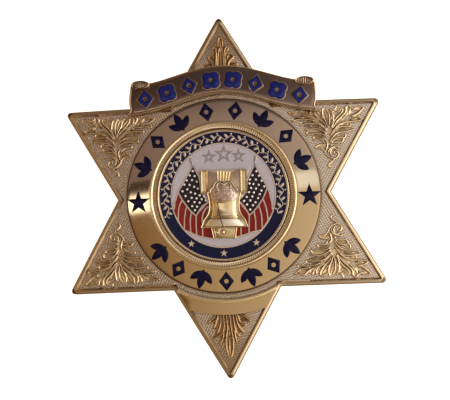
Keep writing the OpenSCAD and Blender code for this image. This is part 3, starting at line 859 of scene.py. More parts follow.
# Lower right point: the low blade, the holes in it, its raised ribs and thinner veins
sideLeaf = {
    "root": (22.0, -12.0),
    "outline": [
        (21.3, -9.9), (20.9, -10.3), (20.1, -10.6), (19.2, -10.65), (18.65, -10.6),
        (18.6, -11.1), (19.0, -11.3), (19.5, -11.5), (19.6, -11.7), (18.6, -11.7),
        (17.5, -11.7), (17.2, -12.1), (17.6, -12.4), (17.2, -12.7), (16.9, -12.85),
        (17.4, -13.05), (18.3, -13.1), (18.6, -13.35), (17.8, -13.4), (17.0, -13.5),
        (17.0, -13.65), (18.3, -13.85), (17.6, -13.9), (16.3, -13.8), (16.05, -14.15),
        (16.4, -14.5), (17.2, -14.35), (18.0, -14.5), (17.6, -14.75), (16.6, -14.9),
        (15.4, -14.85), (14.6, -14.6), (14.4, -14.95), (14.8, -15.3), (15.6, -15.3),
        (15.0, -15.65), (14.3, -16.05), (13.6, -16.65), (14.6, -16.85), (16.0, -16.95),
        (16.4, -16.6), (16.8, -16.4), (17.2, -16.6), (17.45, -17.1), (17.8, -16.7),
        (18.1, -16.8), (18.5, -17.3), (18.65, -16.7), (18.9, -16.1), (19.0, -16.6),
        (19.0, -17.1), (19.6, -17.3), (20.4, -17.1), (20.55, -16.5), (20.7, -16.2),
        (20.85, -16.8), (20.95, -17.3), (21.3, -17.0), (21.8, -16.9), (22.3, -17.05),
        (22.8, -16.9), (23.3, -17.0), (23.5, -17.4), (23.6, -17.8), (23.8, -17.3),
        (23.7, -16.6), (24.1, -16.75), (24.5, -17.0), (24.85, -17.4), (25.05, -17.0),
        (25.4, -17.3), (25.9, -17.7), (26.5, -17.65), (27.0, -17.1), (27.7, -17.3),
        (28.6, -17.4), (29.5, -17.15), (28.9, -16.5), (28.2, -15.9), (27.3, -15.55),
        (26.9, -15.45), (27.7, -15.35), (28.5, -15.05), (29.0, -14.6), (28.3, -14.25),
        (26.9, -14.15), (26.45, -13.9), (26.65, -13.5), (26.5, -13.25), (27.0, -13.0),
        (26.5, -12.85), (27.3, -12.65), (26.4, -12.2), (25.5, -12.05), (25.35, -11.8),
        (25.55, -11.3), (25.2, -10.85), (25.0, -10.3), (24.5, -9.9), (23.6, -9.9),
        (22.6, -9.7), (22.1, -9.7), (21.8, -9.6)],
    "holes": [
        [(21.1, -10.4), (21.8, -10.4), (22.2, -11.2), (22.4, -11.6), (21.7, -11.8),
         (21.1, -11.4), (20.95, -10.9)],
        [(23.2, -11.2), (24.2, -11.25), (24.6, -11.5), (24.9, -11.85), (23.9, -11.8),
         (23.4, -11.5)],
        [(24.9, -14.5), (26.4, -14.6), (26.6, -14.9), (26.2, -15.6), (25.5, -15.5)],
        [(23.3, -15.6), (23.9, -15.9), (23.9, -16.2), (23.3, -16.8), (23.15, -16.3)],
        [(25.0, -10.95), (24.4, -11.0), (24.9, -11.3)],
        [(26.5, -15.8), (27.3, -15.9), (28.1, -16.6), (27.2, -16.6)],
        [(15.1, -15.95), (16.0, -15.7), (16.5, -15.75), (15.6, -16.2)]],
    "ribs": [
        [(21.0, -9.9), (20.7, -10.4), (20.2, -10.75), (19.6, -10.85), (18.9, -10.75),
         (18.75, -11.05), (19.0, -11.3)],
        [(21.5, -11.2), (20.8, -11.75), (20.0, -11.98), (19.0, -11.95), (18.1, -11.87),
         (17.5, -11.88), (17.35, -12.15), (17.6, -12.35)],
        [(21.3, -12.0), (20.9, -12.35), (20.2, -12.75), (19.3, -13.0), (18.4, -12.98),
         (17.4, -12.9), (17.0, -12.85)],
        [(21.5, -12.6), (20.4, -13.6), (19.4, -14.08), (18.2, -14.15), (17.2, -14.07),
         (16.45, -13.95), (16.2, -14.15), (16.4, -14.45)],
        [(19.0, -14.6), (18.0, -14.98), (17.2, -14.95), (16.3, -15.08), (15.4, -15.0),
         (14.8, -14.78), (14.55, -14.95), (14.75, -15.25)],
        [(16.9, -15.4), (16.3, -15.5), (15.6, -15.6), (15.0, -15.8), (14.4, -16.2),
         (13.8, -16.6)],
        [(13.8, -16.65), (14.6, -16.68), (15.4, -16.75), (15.95, -16.78), (16.3, -16.5),
         (16.7, -16.1), (17.4, -15.7), (18.3, -15.3), (19.4, -14.7), (20.6, -13.8),
         (21.6, -12.9)],
        [(19.6, -14.9), (18.7, -15.3), (18.0, -15.85), (17.65, -16.4), (17.5, -17.0)],
        [(20.0, -14.7), (18.95, -15.4), (18.5, -15.7), (18.3, -16.2), (18.35, -16.7),
         (18.5, -17.2)],
        [(21.4, -13.6), (21.0, -14.2), (20.2, -14.9), (19.6, -15.6), (19.2, -16.3),
         (19.1, -16.95), (19.6, -17.12), (20.2, -17.0), (20.55, -16.6)],
        [(21.9, -13.2), (21.4, -14.5), (21.0, -15.2), (20.8, -15.9), (20.8, -16.6),
         (20.95, -17.2)],
        [(22.1, -13.6), (22.25, -15.0), (22.15, -16.0), (21.9, -16.5), (21.5, -17.0)],
        [(22.5, -13.2), (22.9, -14.3), (23.0, -15.1), (22.9, -16.0), (22.7, -16.6),
         (22.2, -16.95)],
        [(23.0, -16.8), (23.4, -16.95), (23.65, -17.3), (23.6, -17.7)],
        [(22.6, -12.9), (23.2, -14.4), (23.9, -15.35), (24.5, -15.9), (24.9, -16.5),
         (24.95, -17.1)],
        [(22.8, -12.9), (23.8, -14.5), (24.6, -15.2), (25.3, -15.9), (25.65, -16.5),
         (25.65, -17.1), (25.95, -17.5), (26.4, -17.5), (26.8, -17.1), (27.3, -16.95),
         (28.0, -17.15), (28.7, -17.25), (29.35, -17.08)],
        [(26.7, -15.4), (27.4, -15.5), (28.1, -15.9), (28.7, -16.45), (29.35, -17.05)],
        [(22.3, -11.4), (23.1, -12.6), (23.8, -13.35), (24.7, -13.9), (25.8, -14.15),
         (27.2, -14.3), (28.3, -14.38), (28.85, -14.62), (28.4, -14.95), (27.7, -15.2),
         (26.9, -15.2)],
        [(22.2, -10.1), (22.8, -11.1), (23.5, -11.8), (24.4, -12.1), (25.4, -12.2),
         (26.3, -12.35), (27.2, -12.65)],
        [(23.3, -12.6), (24.2, -13.15), (25.3, -13.22), (26.2, -13.15), (26.9, -13.02)],
        [(22.4, -9.9), (23.1, -10.7), (23.9, -10.95), (24.7, -10.9), (25.2, -11.0),
         (25.4, -11.4), (25.3, -11.7)],
        [(22.3, -9.8), (23.0, -10.0), (23.8, -10.05), (24.5, -10.05), (24.85, -10.35),
         (25.0, -10.8)]],
    "veins": [
        [(21.0, -11.0), (20.3, -11.3), (19.7, -11.4), (19.2, -11.45)],
        [(18.5, -13.6), (17.8, -13.55), (17.1, -13.58)],
        [(20.2, -13.3), (19.4, -13.5), (18.6, -13.6)],
        [(19.6, -14.3), (18.9, -14.6), (18.3, -14.6), (17.7, -14.6)],
        [(18.0, -15.6), (17.2, -16.0), (16.9, -16.4)],
        [(20.9, -14.9), (20.4, -15.6), (20.0, -16.1), (19.6, -16.6)],
        [(21.8, -14.3), (21.6, -15.6), (21.3, -16.4), (21.1, -16.9)],
        [(22.6, -14.6), (22.65, -15.6), (22.45, -16.5)],
        [(23.7, -16.35), (24.2, -16.5), (24.6, -16.9), (24.85, -17.3)],
        [(26.1, -15.8), (26.4, -16.4), (26.6, -17.1)],
        [(26.8, -16.5), (27.5, -16.75), (28.3, -16.85)],
        [(25.0, -15.0), (25.7, -15.6), (26.1, -16.4)],
        [(24.1, -12.6), (25.0, -12.72), (25.9, -12.7)],
        [(26.2, -13.25), (26.5, -13.55), (26.4, -13.9)],
        [(26.3, -14.75), (27.0, -14.65), (27.7, -14.8)],
        [(24.0, -13.5), (25.0, -13.65), (25.8, -13.6)]],
    "scroll": [
        [(18.95, -9.0), (20.2, -8.9), (20.9, -8.4), (21.3, -7.6), (21.9, -7.0),
         (22.7, -6.7), (23.4, -6.9), (23.8, -7.4), (23.6, -8.0), (23.1, -8.2),
         (22.9, -7.8), (23.2, -7.6)],
        [(21.7, -7.9), (21.9, -8.5), (22.5, -9.0), (23.2, -9.2), (23.9, -9.0), (24.5, -8.9)],
        [(22.4, -7.2), (22.15, -7.9), (22.4, -8.6), (23.0, -8.8), (23.4, -8.5)],
        [(19.1, -9.1), (19.5, -9.4), (20.2, -9.7), (21.0, -9.6)],
        [(21.2, -8.2), (21.5, -9.0), (21.6, -9.9), (21.1, -10.6)],
        [(22.9, -6.5), (22.2, -6.0), (21.7, -5.4), (21.8, -5.0), (22.3, -5.1)]],
    "blades": [[(19.4, -9.1), (20.3, -9.3), (21.3, -9.3)],
               [(21.3, -8.4), (22.2, -9.0), (22.3, -9.9)]],
}
bottomLeaf = {
    "root": (0.0, -25.0),
    "outline": [
        (-2.6, -24.2), (-3.7, -25.1), (-4.4, -26.1), (-3.2, -25.9), (-2.9, -26.3),
        (-3.3, -27.1), (-2.7, -27.3), (-2.8, -28.2), (-3.6, -29.2), (-2.7, -28.9),
        (-1.9, -28.7), (-1.7, -29.4), (-2.2, -30.5), (-1.3, -30.3), (-0.9, -29.8),
        (-0.8, -30.8), (-0.6, -32.0), (-0.1, -33.6), (0.5, -33.0), (0.9, -32.0),
        (0.95, -30.8), (0.9, -29.9), (1.8, -30.2), (1.6, -29.4), (1.4, -28.9), (2.3, -28.9),
        (2.3, -28.1), (3.4, -28.4), (3.1, -27.6), (2.8, -27.1), (3.8, -26.7), (3.5, -26.2),
        (2.9, -25.9), (3.7, -25.8), (4.7, -25.8), (4.2, -25.0), (3.2, -24.3), (0.0, -24.0)],
    "holes": [],
    "ribs": [
        [(-0.4, -24.0), (-0.25, -27.0), (-0.5, -28.7), (-0.7, -30.2), (-0.55, -31.5),
         (-0.1, -33.2)],
        [(0.3, -24.0), (0.5, -27.0), (0.75, -28.6), (0.8, -30.2), (0.7, -31.6),
         (0.1, -33.2)],
        [(-1.0, -24.0), (-0.9, -26.5), (-1.3, -28.0), (-2.4, -28.7), (-3.3, -29.0)],
        [(-1.1, -28.0), (-1.3, -29.2), (-1.9, -30.2)],
        [(-2.0, -24.2), (-2.4, -25.4), (-3.0, -26.9)],
        [(-2.5, -24.3), (-3.2, -25.0), (-4.2, -25.9), (-3.3, -25.75), (-2.5, -25.3)],
        [(1.0, -24.0), (1.2, -26.5), (1.5, -28.0), (2.1, -28.7)],
        [(1.2, -27.6), (1.3, -28.9), (1.6, -29.9)],
        [(1.5, -24.0), (1.9, -26.3), (2.6, -27.6), (3.2, -28.2)],
        [(1.9, -24.2), (2.4, -25.9), (3.5, -26.6)],
        [(2.5, -24.3), (3.4, -24.9), (4.5, -25.7), (3.5, -25.7), (2.6, -25.3)],
        [(-0.9, -29.3), (0.0, -29.0), (1.0, -29.3)]],
    "veins": [
        [(0.0, -29.2), (0.0, -31.0), (0.05, -32.6)], [(0.0, -24.0), (0.1, -28.6)],
        [(-1.6, -24.0), (-1.6, -26.0), (-2.3, -28.0)]],
    "scroll": [], "blades": [],
}
topLeaf = {
    "root": (0.2, 28.0),
    "outline": [
        (0.2, 33.3), (-0.3, 32.7), (-0.4, 31.9), (-0.2, 31.2), (-0.7, 31.4), (-1.4, 31.5),
        (-1.5, 30.8), (-1.1, 30.2), (-0.9, 29.7), (-1.4, 29.6), (-2.6, 29.0), (-2.5, 28.2),
        (-1.8, 27.8), (-2.6, 27.7), (-3.4, 27.6), (-3.2, 26.8), (-2.0, 26.0), (0.2, 25.8),
        (2.4, 26.0), (3.6, 26.8), (3.9, 27.7), (3.0, 27.7), (2.3, 27.8), (3.0, 28.3),
        (3.2, 29.2), (2.2, 29.4), (1.4, 29.6), (1.7, 30.2), (2.1, 30.9), (1.9, 31.6),
        (1.2, 31.3), (0.7, 31.1), (0.8, 31.9), (0.7, 32.7)],
    "holes": [],
    "ribs": [
        [(-0.25, 31.3), (-0.25, 32.4), (0.2, 33.2), (0.65, 32.4), (0.65, 31.3)],
        [(-0.5, 25.9), (-0.4, 28.6), (0.0, 31.0)], [(0.9, 25.9), (0.8, 28.6), (0.4, 31.0)],
        [(-0.9, 25.9), (-0.7, 29.0), (-0.7, 30.4), (-1.2, 31.3), (-1.35, 30.7),
         (-1.0, 30.0)],
        [(1.3, 25.9), (1.1, 29.0), (1.1, 30.4), (1.7, 31.3), (1.85, 30.7), (1.4, 30.0)],
        [(-1.2, 25.9), (-1.5, 27.8), (-2.4, 28.9), (-1.6, 29.4), (-1.1, 28.6)],
        [(1.6, 25.9), (1.9, 27.8), (2.9, 29.0), (2.0, 29.4), (1.5, 28.6)],
        [(-1.6, 26.1), (-2.2, 26.9), (-3.2, 27.4)], [(2.0, 26.1), (2.6, 26.9), (3.6, 27.4)]],
    "veins": [[(0.2, 25.9), (0.2, 29.5), (0.2, 32.5)]],
    "scroll": [], "blades": [],
}


def makeSpray(shape):
    # Strips laid on a low blade, fused into one skin and smoothed
    low, plate = leaf["low"], leaf["plate"]
    parts = [prism(shape["outline"], low, plate)]
    for points in shape["holes"]:
        boolean(parts[0], prism(points, low - 1, plate + 1))
    for kind in ("ribs", "scroll", "veins", "blades"):
        width, top, taper = leaf[kind]
        for points in shape[kind]:
            parts.append(wire(points, width, low, top, 6 * len(points), 6, taper,
                              leaf["fall"]))
    spray = joinAll(parts)
    applyModifier(spray, "REMESH", mode="VOXEL", voxel_size=leaf["voxel"])
    applyModifier(spray, "SMOOTH", factor=0.5, iterations=leaf["smooth"])
    rootX, rootY = shape["root"]
    for vert in spray.data.vertices:
        away = math.hypot(vert.co.x - rootX, vert.co.y - rootY) / leaf["swellReach"]
        if vert.co.z > 0:
            vert.co.z *= 1 + leaf["swell"] * max(0.0, 1 - away)
    return spray


def makeSprays():
    side = makeSpray(sideLeaf)
    sprays = {"spray_lower_right": side, "spray_lower_left": mirrorCopy(side, -1, 1),
              "spray_upper_right": mirrorCopy(side, 1, -1),
              "spray_upper_left": mirrorCopy(side, -1, -1),
              "spray_bottom": makeSpray(bottomLeaf), "spray_top": makeSpray(topLeaf)}
    for name, spray in sprays.items():
        finishPiece(name, bendToDome(spray), golds["leafGold"], "star_body",
                    75.0)


makeSprays()


# Raised edge along the top of the bare lower panel, between the two borders beside it

panelLip = {"middle": 21.55, "width": 0.85, "low": 0.3, "top": 0.6, "from": 242.0,
            "to": 298.0, "steps": 24}


def makePanelLip():
    start, steps = panelLip["from"], panelLip["steps"]
    step = (panelLip["to"] - start) / steps
    lip = wire([onCircle(panelLip["middle"], start + step * k) for k in range(steps + 1)],
               panelLip["width"], panelLip["low"], panelLip["top"], 4 * steps, 8)
    finishPiece("panel_lip", bendToDome(lip), golds["softGold"], "star_body",
                60.0)


makePanelLip()


# Ribbon

ribbon = {
    "half": 19.0, "wide": 5.5, "turn": -1.2, "low": 0.51, "rim": 1.81,
    # Middle line: height at its top, how far it drops and over which reach
    "middle": 24.15, "drop": 3.5, "dropReach": 18.0,
    # (distance from the edge, height below the rim) of the raised edge
    "edge": [(0.0, 0.22), (0.04, 0.08), (0.11, 0.02), (0.19, 0.0), (0.26, 0.03),
             (0.31, 0.12), (0.35, 0.24), (0.45, 0.22)],
    "endFlare": 0.6, "endHollow": 0.35, "foot": 0.3, "footFlare": 0.6, "grid": (0.5, 0.55),
    # Ornaments: count, share of the ribbon they fill, how far they follow its lower edge
    "count": 8, "filled": 0.84, "follow": 0.8,
    # (growth, low, top) of each layer of them, and how far its edges are rounded
    "collar": (0.26, 1.21, 1.8), "collarSoft": 0.06, "recess": (0.05, 1.31, 2.6),
    "inlay": (0.0, 1.36, 1.76), "inlaySoft": 0.05,
    # (side, height of the floor) of each roll
    "rolls": ((-1, 2.3), (1, 1.9)), "rollPlace": (17.0, 23.3), "rollReach": (2.0, 0.88),
    # (share of the reach, height) of a roll's rim, from its foot up
    "rollRim": [(0.0, 0.6), (1.0, 0.6), (1.0, 2.15), (0.97, 2.3), (0.9, 2.38), (0.83, 2.3),
                (0.79, 2.12)],
    "rollFloor": 0.72, "rollSteps": 9, "rollSwell": 0.25, "flute": 0.035,
    "flutePitch": 0.46,
}


def ribbonLine(x):
    share = min(abs(x) / ribbon["dropReach"], 1.0)
    return ribbon["middle"] - ribbon["drop"] * (1 - math.cos(math.pi * share)) / 2


def ribbonLow(x):
    # How much further the lower edge drops
    return ribbon["foot"] + ribbon["footFlare"] * (abs(x) / ribbon["half"]) ** 4


def ribbonSlope(x):
    return math.atan(ribbonLine(x + 0.5) - ribbonLine(x - 0.5))


def spaced(reach, inner):
    # Places from -reach to reach, close together along both edges
    near = [distance for distance, _ in ribbon["edge"]]
    start = reach - near[-1]
    count = int(2 * start / inner)
    middle = [-start + 2 * start * k / count for k in range(1, count)]
    return [d - reach for d in near] + middle + [reach - d for d in reversed(near)]


def edgeHeight(distance):
    steps = ribbon["edge"]
    for (d0, low0), (d1, low1) in zip(steps, steps[1:]):
        if distance <= d1:
            return ribbon["rim"] - low0 - (low1 - low0) * (distance - d0) / (d1 - d0)
    return ribbon["rim"] - steps[-1][1]


def ribbonSheet():
    half, tall = ribbon["half"], ribbon["wide"] / 2
    xs, ys = [spaced(*pair) for pair in zip((half, tall), ribbon["grid"])]
    lastX, lastY = len(xs) - 1, len(ys) - 1
    bpy.ops.mesh.primitive_grid_add(x_subdivisions=lastX, y_subdivisions=lastY, size=1)
    sheet = bpy.context.object
    for vert in sheet.data.vertices:
        x, y = xs[round((vert.co.x + 0.5) * lastX)], ys[round((vert.co.y + 0.5) * lastY)]
        s = y / tall
        shift = ribbon["endFlare"] * max(0.0, -s) ** 3 - ribbon["endHollow"] * (1 - s * s)
        vert.co = (x + math.copysign(shift * (abs(x) / half) ** 8, x),
                   ribbonLine(x) + y / math.cos(ribbonSlope(x)) - ribbonLow(x) * (1 - s) / 2,
                   edgeHeight(min(half - abs(x), tall - abs(y))))
    return sheet


def ribbonOrnaments(grow, low, high):
    last = ribbon["count"] - 1
    places = []
    for k in range(last + 1):
        x = 2 * ribbon["half"] * ribbon["filled"] * (k / last - 0.5)
        places.append((min(k, last - k) % 2,
                       placed(x, ribbonLine(x) - ribbon["follow"] * ribbonLow(x),
                              math.degrees(ribbonSlope(x)))))
    return joinAll(inTurn(("ribbonLozenge", "quatrefoil"), places, grow, low, high))


def ribbonRoll(side, inner):
    # The end of the ribbon rolled back, with its fluted inside
    floor, steps = ribbon["rollFloor"], ribbon["rollSteps"]
    roll = lathe(ribbon["rollRim"] + [(floor * k / steps, inner)
                                      for k in range(steps, -1, -1)], 72)
    reachX, reachY = ribbon["rollReach"]
    placeX, placeY = ribbon["rollPlace"]
    for vert in roll.data.vertices:
        x, y, z = vert.co
        r = math.hypot(x, y)
        if r < floor + 0.03 and z > 1.0:
            z += ribbon["rollSwell"] * (inner - 2.0) * (1 - r * r)
            z += ribbon["flute"] * math.sin(2 * math.pi * x * reachX / ribbon["flutePitch"])
        vert.co = (side * placeX + reachX * x, placeY + reachY * y, z)
    return cleanNormals(roll, 0.0001)


def makeRibbon():
    band = thicken(ribbonSheet(), ribbon["low"])
    boolean(band, soften(ribbonOrnaments(*ribbon["collar"]), ribbon["collarSoft"]), "UNION")
    boolean(band, ribbonOrnaments(*ribbon["recess"]))
    band = joinAll([band] + [ribbonRoll(*roll) for roll in ribbon["rolls"]])
    turned(bendToDome(band), ribbon["turn"])
    finishPiece("ribbon", band, golds["shadedRibbonGold"], "rank_banner")
    fills = soften(ribbonOrnaments(*ribbon["inlay"]), ribbon["inlaySoft"])
    turned(bendToDome(fills), ribbon["turn"])
    finishPiece("ribbon_fills", fills, enamels["royalEnamel"],
                "banner_enamel")


makeRibbon()


# Bell with its yoke and clapper panel

bell = {
    "turn": -1.0, "x": 0.2, "base": 6.15,
    # (height on the badge, half width, height off the seal), from the crown down
    "body": [
        (2.62, 0.5, 0.9), (2.52, 1.2, 0.98), (2.2, 1.62, 1.03), (1.75, 1.95, 1.06),
        (1.3, 2.5, 1.08), (0.8, 2.82, 1.1), (0.2, 2.96, 1.1), (-0.5, 2.94, 1.1),
        (-1.0, 2.82, 1.08), (-1.18, 2.78, 1.08), (-1.24, 2.84, 1.15), (-1.38, 2.86, 1.16),
        (-1.46, 2.8, 1.1), (-1.52, 2.7, 1.03), (-2.4, 2.62, 1.02), (-3.2, 2.64, 1.02),
        (-3.9, 2.76, 1.04), (-4.38, 2.92, 1.06), (-4.48, 3.02, 1.14), (-4.6, 3.04, 1.15),
        (-4.68, 3.0, 1.1), (-4.74, 2.9, 0.98), (-4.9, 2.95, 0.97), (-4.98, 3.15, 1.12),
        (-5.1, 3.3, 1.27), (-5.5, 3.66, 1.27), (-5.9, 3.96, 1.23), (-6.2, 4.2, 1.16),
        (-6.36, 4.28, 1.08), (-6.46, 4.26, 1.0), (-6.52, 4.15, 0.85)],
    # The flange that stands round the bell, right half from the crown to the foot
    "flange": [(2.2, 2.1), (2.7, 1.65), (2.95, 1.2), (3.2, 0.75), (3.36, 0.3), (3.25, -0.3),
               (3.08, -1.2), (3.0, -2.4), (3.18, -3.5), (3.6, -4.35), (4.15, -5.05),
               (4.45, -5.8), (4.75, -6.6)],
    "flangeLow": 6.42, "flangeTop": 6.6, "edgeTop": 6.95, "edgeWide": 0.32,
    "crack": [(-1.4, -1.6), (-1.1, -3.0), (-0.85, -4.6), (-0.6, -5.5), (-0.2, -6.7)],
    "crackWide": 0.17, "crackLow": 6.55,
    "crown": [[(-2.85, 0.5), (-2.65, 1.15), (-2.2, 1.5), (-1.95, 1.95), (-1.7, 2.4),
               (-1.3, 2.68), (-0.7, 2.8), (0.1, 2.7), (0.8, 2.8), (1.35, 2.65), (1.75, 2.25),
               (2.15, 1.75), (2.65, 1.2), (2.95, 0.6)],
              [(-1.25, 1.15), (-1.4, 1.6), (-1.3, 2.1), (-0.9, 2.45), (-0.4, 2.3),
               (0.1, 1.9)],
              [(0.1, 1.9), (0.5, 2.3), (0.95, 2.45), (1.4, 2.15), (1.5, 1.7), (1.35, 1.25)]],
    "crownWide": 0.24, "crownLow": 7.0, "crownTop": 7.42,
    # The openings under the crown's two loops
    "loops": [[(-1.15, 1.75), (-1.1, 2.1), (-0.85, 2.3), (-0.5, 2.15), (-0.15, 1.8),
               (-0.6, 1.6)],
              [(0.3, 1.8), (0.6, 2.15), (0.95, 2.3), (1.2, 2.1), (1.25, 1.75), (0.8, 1.6)]],
    "loopLow": 6.75, "cutTop": 9.0,
    "bosses": [(-1.15, 1.0, 0.2), (1.3, 1.0, 0.2), (-2.0, 1.2, 0.14), (2.0, 1.2, 0.14)],
    "bossHigh": 1.06, "bossReach": 2.8,
    # How far up the body each further gold lies; the pale band on the bow is a painted highlight
    "bands": {"stippledGold": (-1.2, 2.7), "highlightGold": (-6.35, -5.02)},
    "block": [(-4.75, 0.3), (4.75, 0.3), (4.75, 5.15), (1.7, 4.6), (-1.3, 4.6),
              (-4.75, 5.15)],
    "blockTop": 6.7,
    "beam": [(-3.5, 0.6), (3.5, 0.6), (3.5, 5.05), (3.0, 5.12), (2.4, 5.0), (1.8, 4.62),
             (-1.4, 4.62), (-2.4, 4.85), (-3.5, 5.05)],
    "beamTop": 6.86,
    # Posts: where, how wide, (foot, top), height, and (radius, foot, step, height) of nine beads
    "postX": 4.05, "postWide": 1.4, "post": (0.4, 5.1), "postHigh": 7.25, "beads": 9,
    "bead": (0.13, 0.85, 0.48, 7.05),
    "ribs": 5, "ribTop": 7.3, "ribDeep": 0.22, "ribLine": [(0.25, 4.68), (0.15, 2.8)],
    "ribWide": (3.15, 2.6),
    "panel": [(-2.4, -8.9), (2.3, -8.9), (2.6, -6.3), (-2.85, -6.3)], "panelTop": 6.62,
    # (inset, width, rise) of the two lines down each side of the panel, and where they end
    "panelLines": ((0.14, 0.3, 0.26), (0.62, 0.12, 0.1)), "panelEnd": -6.7,
    # (x, y, radius) of the clapper's ball
    "ball": (-0.35, -7.6, 0.42), "ballGap": 0.2,
}


def smoothPrism(points, low, high, width):
    return soften(prism(points, low, high), width)


def bellBody():
    spine = pathThrough([(0, row[0]) for row in bell["body"]])
    wide = pathThrough([row[1:] for row in bell["body"]])
    body = layStrip(spine, lambda t: 2 * wide(t)[0],
                    lambda a, t: bell["base"] + wide(t)[1] * halfRound(a), 150, 64)
    thicken(body, bell["base"] - 0.02)
    cut = layStrip(pathThrough(bell["crack"]), lambda t: bell["crackWide"],
                   lambda a, t: bell["cutTop"], 30, 1)
    boolean(body, thicken(cut, bell["crackLow"]))
    for points in bell["loops"]:
        boolean(body, prism(points, bell["loopLow"], bell["cutTop"] - 1))
    dress(body, golds["bellGold"])
    for gold, (low, high) in bell["bands"].items():
        paintFaces(body, gold,
                   lambda face: low < face.center.y < high and face.normal.z > 0.3)
    return body


def bellFlange():
    line, steps = pathThrough(bell["flange"]), 36
    right = [line(k / steps) for k in range(steps + 1)]
    left = [(-x, y) for x, y in reversed(right)]
    parts = [smoothPrism(right + left, bell["flangeLow"], bell["flangeTop"], 0.05)]
    wide, low, top = bell["edgeWide"], bell["flangeTop"] - 0.05, bell["edgeTop"]
    for side in (1, -1):
        parts.append(wire([(side * x, y) for x, y in bell["flange"]], wide, low, top, 60))
    footX, footY = bell["flange"][-1]
    parts.append(wire([(-footX, footY), (0, footY), (footX, footY)], wide, low, top - 0.1,
                      40))
    return parts


def yokeParts():
    low, high = bell["base"], bell["postHigh"]
    foot, top = bell["post"]
    radius, start, step, z = bell["bead"]
    wideTop, wideLow = bell["ribWide"]

    def postHeight(a, t):
        return high - 0.2 + 0.22 * math.exp(-((a - 0.8) / 0.14) ** 2)

    def ribHeight(a, t):
        return bell["ribTop"] - bell["ribDeep"] * (
            0.5 + 0.5 * math.cos(math.pi * bell["ribs"] * a))

    parts = []
    for x in (-bell["postX"], bell["postX"]):
        parts.append(thicken(layStrip(pathThrough([(x, foot), (x, top)]),
                                      lambda t: bell["postWide"], postHeight, 20, 24), low))
        for y in (foot + 0.12, top - 0.12):
            parts.append(wire([(x - 0.6, y), (x + 0.6, y)], 0.22, low + 0.7, high + 0.02, 8))
        for k in range(bell["beads"]):
            parts.append(ball(radius, (x, start + step * k, z), 12, 8))
    parts.append(thicken(layStrip(pathThrough(bell["ribLine"]),
                                  lambda t: wideTop + (wideLow - wideTop) * t, ribHeight, 8,
                                  72), low))
    return parts


def crownParts():
    parts = [wire(points, bell["crownWide"], bell["crownLow"], bell["crownTop"], 60, 8)
             for points in bell["crown"]]
    for x, y, radius in bell["bosses"]:
        z = bell["base"] + bell["bossHigh"] * halfRound(x / bell["bossReach"])
        parts.append(ball(radius, (x, y, z)))
    return parts


def clapperParts():
    left, right, headRight, headLeft = bell["panel"]
    top = bell["panelTop"]
    x, y, radius = bell["ball"]
    panel = smoothPrism(bell["panel"], bell["base"], top, 0.04)
    parts = [boolean(panel, drum(radius + bell["ballGap"], top - 0.15, top + 0.45, (x, y),
                                 48))]
    for side, foot, head in ((-1, left, headLeft), (1, right, headRight)):
        for inset, width, rise in bell["panelLines"]:
            parts.append(wire([(foot[0] - side * inset, foot[1] + 0.05),
                               (head[0] - side * inset, bell["panelEnd"])],
                              width, top - 0.04, top + rise, 12))
    parts.append(wire([(left[0] + 0.3, left[1] + 0.12), (right[0] - 0.3, right[1] + 0.12)],
                      0.2, top - 0.03, top + 0.12, 24))
    parts.append(ball(radius, (x, y, top - 0.02), 32, 16))
    return parts


def makeBell():
    whole = bellBody()
    low = bell["base"]
    for gold, parts in (
            ("bellGold", bellFlange() + yokeParts() + clapperParts()),
            ("yokeGold", [smoothPrism(bell["block"], low, bell["blockTop"], 0.05),
                          smoothPrism(bell["beam"], low, bell["beamTop"], 0.12)]),
            ("highlightGold", crownParts())):
        for part in parts:
            dress(part, golds[gold])
        whole = joinAll([whole] + parts)
    turned(whole, bell["turn"], (bell["x"], 0, 0))
    finishPiece("bell_relief", whole, None, "bell", 40.0)


makeBell()


# Fine work of the seal

seal = {
    "shift": -0.12, "top": 6.4, "middle": 11.9,
    # A running vine where the blue ring carries words: its turns, waves, sway and width
    "vine": (201.0, -21.0), "waves": 17, "sway": 0.42, "width": 0.26,
    "leaf": (1.2, 0.55), "leafLean": 52.0, "leafPlace": (0.25, -0.3), "berry": 0.2,
    "berryPlace": (-0.15, 0.82),
    "dot": 0.23, "dotHigh": 0.1,
    # Foot of each spearhead and its lean, the (length, width, rise) of its blades, and the
    # (radius, rise) of its knob
    "finials": (((-6.0, 6.4), 15.0), ((6.85, 6.2), -6.0)),
    "blades": ((1.1, 0.55, 1.05), (0.7, 0.2, 0.2)), "knob": (0.24, 0.4),
    "dots": [
        (-6.0, 5.2), (-6.65, 4.35), (-5.65, 4.15), (-7.3, 3.35), (-6.2, 3.35), (-5.25, 3.0),
        (-7.85, 2.5), (-6.75, 2.4), (-5.8, 1.95), (-5.05, 1.55), (-8.25, 1.15),
        (-7.25, 1.5), (-6.55, 0.85), (-5.65, 0.55), (-4.75, 0.15), (-7.65, 0.15),
        (-6.4, -0.3), (-5.4, -0.45), (-4.35, -0.65), (-3.85, -0.05), (-3.5, -0.95),
        (-7.1, -0.95), (-5.85, -1.2), (-4.8, -1.35), (-6.35, -2.0), (-5.35, -2.15),
        (-5.8, -2.85),
        (7.05, 4.6), (6.25, 3.8), (7.55, 3.65), (5.65, 2.95), (6.9, 2.9), (8.05, 2.6),
        (5.55, 2.15), (6.35, 2.0), (7.45, 1.8), (8.55, 1.4), (5.85, 1.2), (6.85, 1.05),
        (7.95, 0.6), (5.4, 0.35), (6.4, 0.25), (7.6, -0.15), (3.95, -0.4), (4.9, -0.6),
        (6.05, -0.55), (7.2, -0.95), (4.3, -1.4), (5.6, -1.35), (6.65, -1.75), (4.9, -2.15),
        (6.1, -2.35), (5.5, -3.2)],
}


